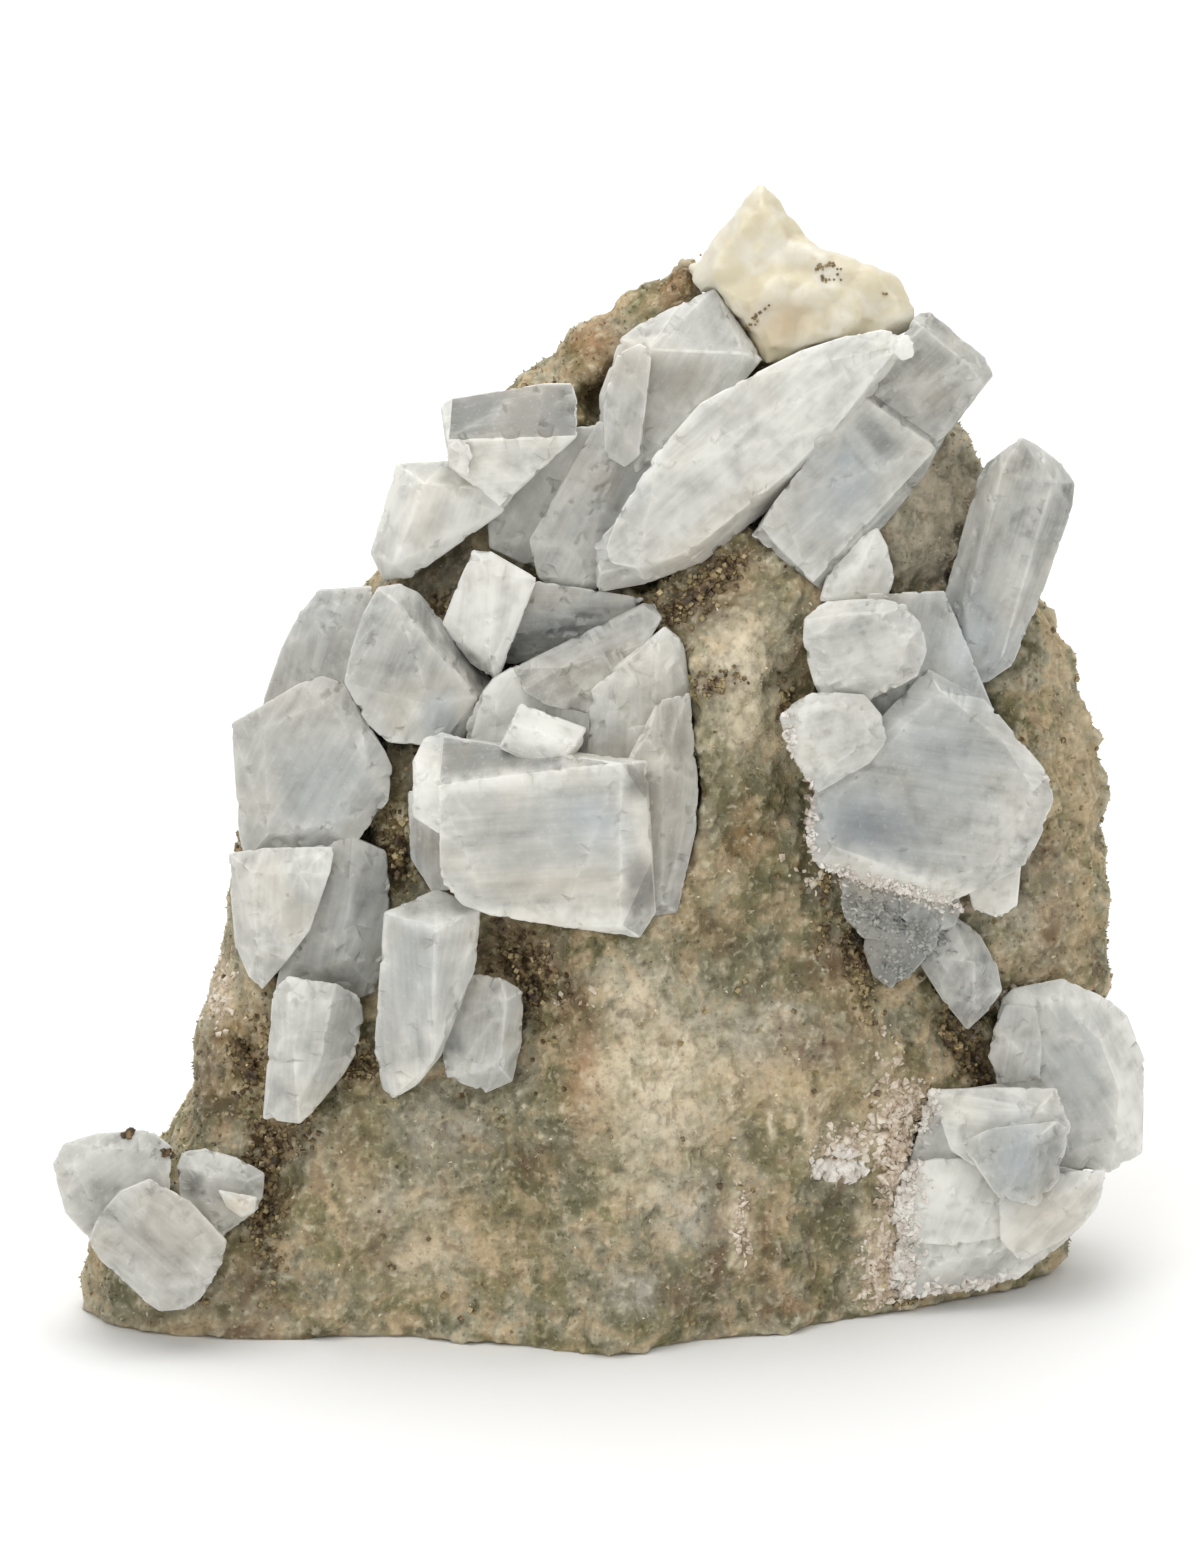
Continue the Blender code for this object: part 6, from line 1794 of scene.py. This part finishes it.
@dataclass
class Druse:
    """Many tiny crystals of one kind, strewn over a piece and joined in one mesh.

    Attributes:
        name: Name of the mesh.
        carrier: The node whose piece carries them.
        finish: Name of their finish.
        slot: The record's material slot; not used.
        form: Shape of each crystal.
        count: How many there are.
        sizes: Smallest and largest size in mm.
        sunk: Share of its size by which each sits below the surface.
        spots: Where in the front view they sit.
        seed: Start of the random draws.
        everywhere: Weight of the places outside the patches.
        tinted: Whether each crystal takes the rock's tints, and a glint of its own.
        stretch: How much each crystal's sides may differ from its size.
        lean: How far a point may lean from upright, in radians.
        lowest: Height in mm below which none sit.
    """

    name: str
    carrier: str
    finish: str
    slot: str
    form: Form
    count: int
    sizes: tuple[float, float]
    sunk: float
    spots: list[Patch]
    seed: int
    everywhere: float = 0.0
    tinted: bool = False
    stretch: tuple[float, float] = (0.8, 1.2)
    lean: float = 0.6
    lowest: float = 0.8

    def template(self) -> tuple[Array, list[tuple[int, ...]]]:
        """Makes one crystal of size 1, and returns its points and faces."""
        bm = bmesh.new()
        if self.form is Form.POINT:
            bmesh.ops.create_cone(bm, cap_ends=True, segments=4, radius1=0.45, radius2=0.0, depth=1.1)
        elif self.form is Form.CRUMB:
            bmesh.ops.create_icosphere(bm, subdivisions=1, radius=0.55)
            for vert in bm.verts:
                vert.co *= 1.0 + 0.9 * noise.noise(vert.co * 2.3)
        else:
            bmesh.ops.create_cube(bm, size=1.0)
        bm.verts.index_update()
        points = np.array([vert.co for vert in bm.verts])
        faces = [tuple(vert.index for vert in face.verts) for face in bm.faces]
        bm.free()
        return points, faces

    def build(self, carrier: Object) -> Object:
        """Strews the crystals over a piece.

        Args:
            carrier: The piece that carries them.

        Returns:
            The joined mesh's object.
        """
        carried = carrier.data.polygons
        centres = read(carried, "center") / MM
        outward = read(carried, "normal")
        facing = front_share(outward, -0.1, 0.2)
        across, rise = VIEW.seen(centres)
        weight = np.full(len(carried), self.everywhere)
        for spot in self.spots:
            weight = np.maximum(weight, spot.weights(across, rise) * facing)
        weight = weight * read(carried, "area", 1)[:, 0] * (centres[:, 2] > self.lowest)
        rng = np.random.default_rng(self.seed)
        chosen = rng.choice(len(carried), self.count, p=weight / weight.sum())
        points, faces = self.template()
        corners = np.empty((self.count, len(points), 3))
        leaning = self.lean if self.form is Form.POINT else math.pi
        for row, number in enumerate(chosen):
            size = rng.uniform(*self.sizes)
            lean = Euler(rng.uniform(-leaning, leaning, 3)).to_matrix()
            turn = Vector(outward[number]).to_track_quat("Z", "Y").to_matrix() @ lean
            place = centres[number] + outward[number] * size * (0.5 - self.sunk)
            shape = points * rng.uniform(*self.stretch, 3)
            corners[row] = shape @ (np.array(turn).T * size) + place
        start = np.arange(self.count)[:, None] * len(points)
        rows = [tuple(row) for face in faces for row in (start + np.array(face)).tolist()]
        joined = bpy.data.meshes.new(self.name)
        joined.from_pydata((corners.reshape(-1, 3) * MM).tolist(), [], rows)
        if self.tinted:
            skin = Skin(joined)
            for tint, spots in ROCK_PATCHES.items():
                weights = tint_weights(spots, centres[chosen], ROCK_WARP) * facing[chosen]
                skin.write(tint.value, np.repeat(weights, len(points)))
            skin.write("glint", np.repeat(rng.normal(0.0, 0.45, self.count), len(points)))
        return placed(self.name, joined)

    def dress(self, piece: Object, finishes: Finishes) -> None:
        """Gives the crystals their finish."""
        dressed(piece, finishes[self.finish])


@dataclass(frozen=True)
class Lamp:
    """A soft square light, in metres and watts, that looks at a point."""

    name: str
    place: Place
    size: float
    power: float
    aim: Place = (0.0, 0.0, 0.04)

    def build(self) -> None:
        """Adds the light to the scene."""
        lamp = bpy.data.lights.new(self.name, "AREA")
        lamp.energy = self.power
        lamp.size = self.size
        thing = bpy.data.objects.new(self.name, lamp)
        thing.location = self.place
        looks = Vector(self.aim) - thing.location
        thing.rotation_euler = looks.to_track_quat("-Z", "Y").to_euler()
        bpy.context.scene.collection.objects.link(thing)


LAMPS = (
    Lamp("top_light", (-0.12, -0.25, 0.75), 0.6, 2.5),
    Lamp("front_light", (-0.35, -0.75, 0.35), 0.6, 2.1),
    Lamp("right_light", (0.6, -0.35, 0.35), 0.5, 1.0),
    Lamp("back_light", (0.0, 0.35, 1.1), 0.8, 6.0, aim=(0.0, 0.75, 0.35)),
)


@dataclass
class Studio:
    """Pale floor that runs up into a backdrop, soft lights and the camera.

    Attributes:
        view: What the camera sees.
        floor_colours: The two pale colours of the floor.
        half_width: Half width of the floor, in metres.
        front: How far the floor reaches towards the camera, in metres.
        back: Where it begins to curve up, in metres.
        sweep: Radius of the curve, in metres.
        rise: How far the backdrop rises above the curve, in metres.
        steps: How many flat strips the curve has.
        sky: Strength of the white light from all around.
        sensor: Height of the camera's sensor, in mm.
    """

    view: FrontView = VIEW
    floor_colours: tuple[Colour, Colour] = (srgb(246, 246, 245), srgb(240, 240, 239))
    half_width: float = 1.2
    front: float = 1.2
    back: float = 0.45
    sweep: float = 0.35
    rise: float = 1.0
    steps: int = 24
    sky: float = 0.42
    sensor: float = 24.0

    def floor(self) -> None:
        """Makes the floor, which curves up at the back."""
        bm = bmesh.new()
        ends = [bm.verts.new((side * self.half_width, -self.front, 0.0)) for side in (-1, 1)]
        edge = [bm.edges.new(ends)]
        grown = bmesh.ops.extrude_edge_only(bm, edges=edge)["geom"]
        back = [item for item in grown if isinstance(item, BMVert)]
        bmesh.ops.translate(bm, vec=(0.0, self.front + self.back, 0.0), verts=back)
        edge = [item for item in grown if isinstance(item, BMEdge)]
        bmesh.ops.spin(bm, geom=back + edge, cent=(0.0, self.back, self.sweep), axis=(1.0, 0.0, 0.0),
                       angle=math.radians(90.0), steps=self.steps, use_merge=False)
        top = [vert for vert in bm.verts if vert.co.z > self.sweep - MM]
        rim = [edge for edge in bm.edges if all(vert in top for vert in edge.verts)]
        raised = bmesh.ops.extrude_edge_only(bm, edges=rim)["geom"]
        bmesh.ops.translate(bm, vec=(0.0, 0.0, self.rise),
                            verts=[item for item in raised if isinstance(item, BMVert)])
        bmesh.ops.recalc_face_normals(bm, faces=bm.faces)
        mesh = bpy.data.meshes.new("floor")
        bm.to_mesh(mesh)
        bm.free()
        mesh.shade_smooth()
        floor = placed("floor", mesh)
        paint = Paint("floor")
        colour = paint.mix(paint.cloud(300.0, 2.0), *self.floor_colours)
        mesh.materials.append(paint.finish(paint.surface(Base_Color=colour, Roughness=0.8)))

    def build(self) -> None:
        """Makes the floor, the lights, the sky and the camera."""
        self.floor()
        for lamp in LAMPS:
            lamp.build()
        sky = bpy.data.worlds.new("sky")
        sky.use_nodes = True
        background = sky.node_tree.nodes["Background"]
        background.inputs["Color"].default_value = (1.0, 1.0, 1.0, 1.0)
        background.inputs["Strength"].default_value = self.sky
        bpy.context.scene.world = sky
        lens = bpy.data.cameras.new("camera")
        lens.sensor_fit = "VERTICAL"
        lens.sensor_height = self.sensor
        lens.lens = lens.sensor_height * self.view.distance / self.view.picture_height
        lens.clip_start = 0.01
        camera = bpy.data.objects.new("camera", lens)
        camera.location = self.view.eye * MM
        camera.rotation_euler = self.view.ahead.to_track_quat("-Z", "Y").to_euler()
        bpy.context.scene.collection.objects.link(camera)
        bpy.context.scene.camera = camera
        bpy.context.scene.view_settings.view_transform = "Standard"


# How much the sides of a splintery crumb may differ from its size
SPLINTERY = (0.4, 1.3)

# What is strewn over the pieces
STREWN = (
    Druse("rock_sparkle", "matrix_rock", "matrix_rock", "matrix",
          Form.POINT, 26000, (0.20, 0.52), 0.45, [], seed=11, everywhere=1.0, tinted=True),
    Druse("barite_chips", "matrix_rock", "barite_chips", "barite",
          Form.CRUMB, 2600, (0.22, 0.80), 0.62, patches(
              (24, 15.4, 1.4, 5.6, 1, 6), (22.8, 8, 1.2, 3.4, 0.9, -10), (24.6, 21, 1.6, 1.4, 0.9),
              (20.4, 17.8, 2.4, 1, 0.7, 20), (11.4, 11.4, 0.5, 3.4, 0.4, 4), (22.6, 38, 4.5, 0.6, 0.7, -12),
              (17, 43.6, 0.5, 3, 0.6), (33, 29.6, 2.6, 0.5, 0.5, 10), (-30.4, 29.6, 1.2, 1.8, 0.2),
              (-6.4, 29.4, 6, 1, 0.08)),
          seed=3, stretch=SPLINTERY),
    Druse("foot_fringe", "barite_foot_right", "barite_fringe", "barite",
          Form.CRUMB, 1100, (0.16, 0.75), 0.55, patches(
              (24.2, 10, 0.8, 5), (25.8, 20.2, 0.7, 2, 0.8, -20), (24.6, 14.8, 1, 1.4, 0.8),
              (31, 6.4, 5, 0.5, 0.5, 5)),
          seed=4, stretch=SPLINTERY),
    Druse("right_fringe", "barite_right", "barite_fringe", "barite",
          Form.CRUMB, 1100, (0.16, 0.46), 0.55, patches(
              (22.6, 38.4, 6, 0.5, 1, -14), (16.8, 42.4, 0.4, 3.2, 0.8), (15, 49.6, 0.5, 2.6, 0.7),
              (18.6, 37, 1.2, 0.8, 0.5)),
          seed=4, stretch=SPLINTERY),
    Druse("barite_mass", "barite_right", "barite_mass", "barite",
          Form.CRUMB, 620, (0.14, 0.46), 0.60, patches(
              (21.6, 36.2, 1.9, 1.1, 1, -20, 1.5), (25.2, 34.8, 2, 1.2, 0.8, -35, 1.5),
              (23.8, 32.4, 1.3, 1.2, 0.6, 0, 1.5)),
          seed=9),
    Druse("foot_pyrite", "barite_foot_left", "pyrite_crust", "pyrite",
          Form.CUBE, 40, (0.16, 0.42), 0.30, patches(
              (-37.7, 18.6, 0.35, 0.3), (-34.6, 16.9, 0.3, 0.3, 0.3)),
          seed=10),
    Druse("barite_crumb", "matrix_rock", "barite_fringe", "barite",
          Form.CRUMB, 130, (0.3, 0.95), 0.45, patches(
              (19.1, 15.7, 1.7, 0.65, 1, 0, 2), (19.4, 17, 0.6, 0.4)),
          seed=6),
    Druse("crest_pyrite", "calcite_crest", "crest_pyrite", "pyrite",
          Form.CUBE, 60, (0.10, 0.24), 0.35, patches(
              (22.8, 85.8, 0.2, 0.2), (12.2, 83.6, 1.2, 0.3, 0.3, 50), (17.6, 87.9, 0.25, 0.2),
              (18.5, 88.1, 0.25, 0.15), (19.2, 87.7, 0.2, 0.25), (19.1, 87, 0.2, 0.2),
              (18.3, 86.8, 0.3, 0.15)),
          seed=8),
    Druse("pyrite_crumbs", "matrix_rock", "pyrite", "pyrite",
          Form.CUBE, 3600, (0.12, 0.40), 0.25, patches(
              (7.4, 61.6, 4, 1.4, 1, 35), (9.2, 54.6, 1.4, 0.8, 1, 20), (14.8, 53.2, 0.5, 1.2),
              (-27, 14, 1, 6, 1, 5), (-25.6, 22, 2.6, 4), (-18.4, 24.2, 1.8, 1.6),
              (-5.6, 31.6, 1.8, 3.2, 1, 25), (20.4, 32, 0.7, 3, 1, 15), (29.6, 24.6, 1, 4.2, 1, 25),
              (-28.6, 44, 0.6, 2.4), (-16.6, 41.8, 1.4, 2.6), (-12.4, 60.6, 1, 1), (-37.4, 19, 1.4, 0.8),
              (18.2, 40, 0.5, 5, 1, -6), (24.6, 5.4, 1, 1), (-14, 68.6, 1.2, 1.4), (-7, 55, 0.8, 2.4)),
          seed=5, everywhere=0.003),
)


def main() -> None:
    """Builds the studio and every piece of the specimen."""
    Studio().build()
    finishes = {finish.name: finish.made() for finish in FINISHES}
    pieces: dict[str, Object] = {}
    nodes = sorted(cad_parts)
    clusters = [BariteCluster(node) for node in nodes if node.startswith("barite_")]
    for part in (MatrixRock(), *clusters, CalciteCrest()):
        piece = pieces[part.node] = part.build()
        part.dress(piece, finishes)
        LOG.info("%s: %d faces", piece.name, len(piece.data.polygons))
    for seam in (PyriteSeam(node) for node in nodes if node.startswith("pyrite_")):
        crust, cubes = seam.build()
        seam.dress(crust, cubes, finishes)
        LOG.info("%s: %d faces", cubes.name, len(cubes.data.polygons))
    for druse in STREWN:
        piece = druse.build(pieces[druse.carrier])
        druse.dress(piece, finishes)
        LOG.info("%s: %d faces", piece.name, len(piece.data.polygons))


if __name__ == "__main__":
    logging.basicConfig(level=logging.INFO, format="%(message)s")
    main()
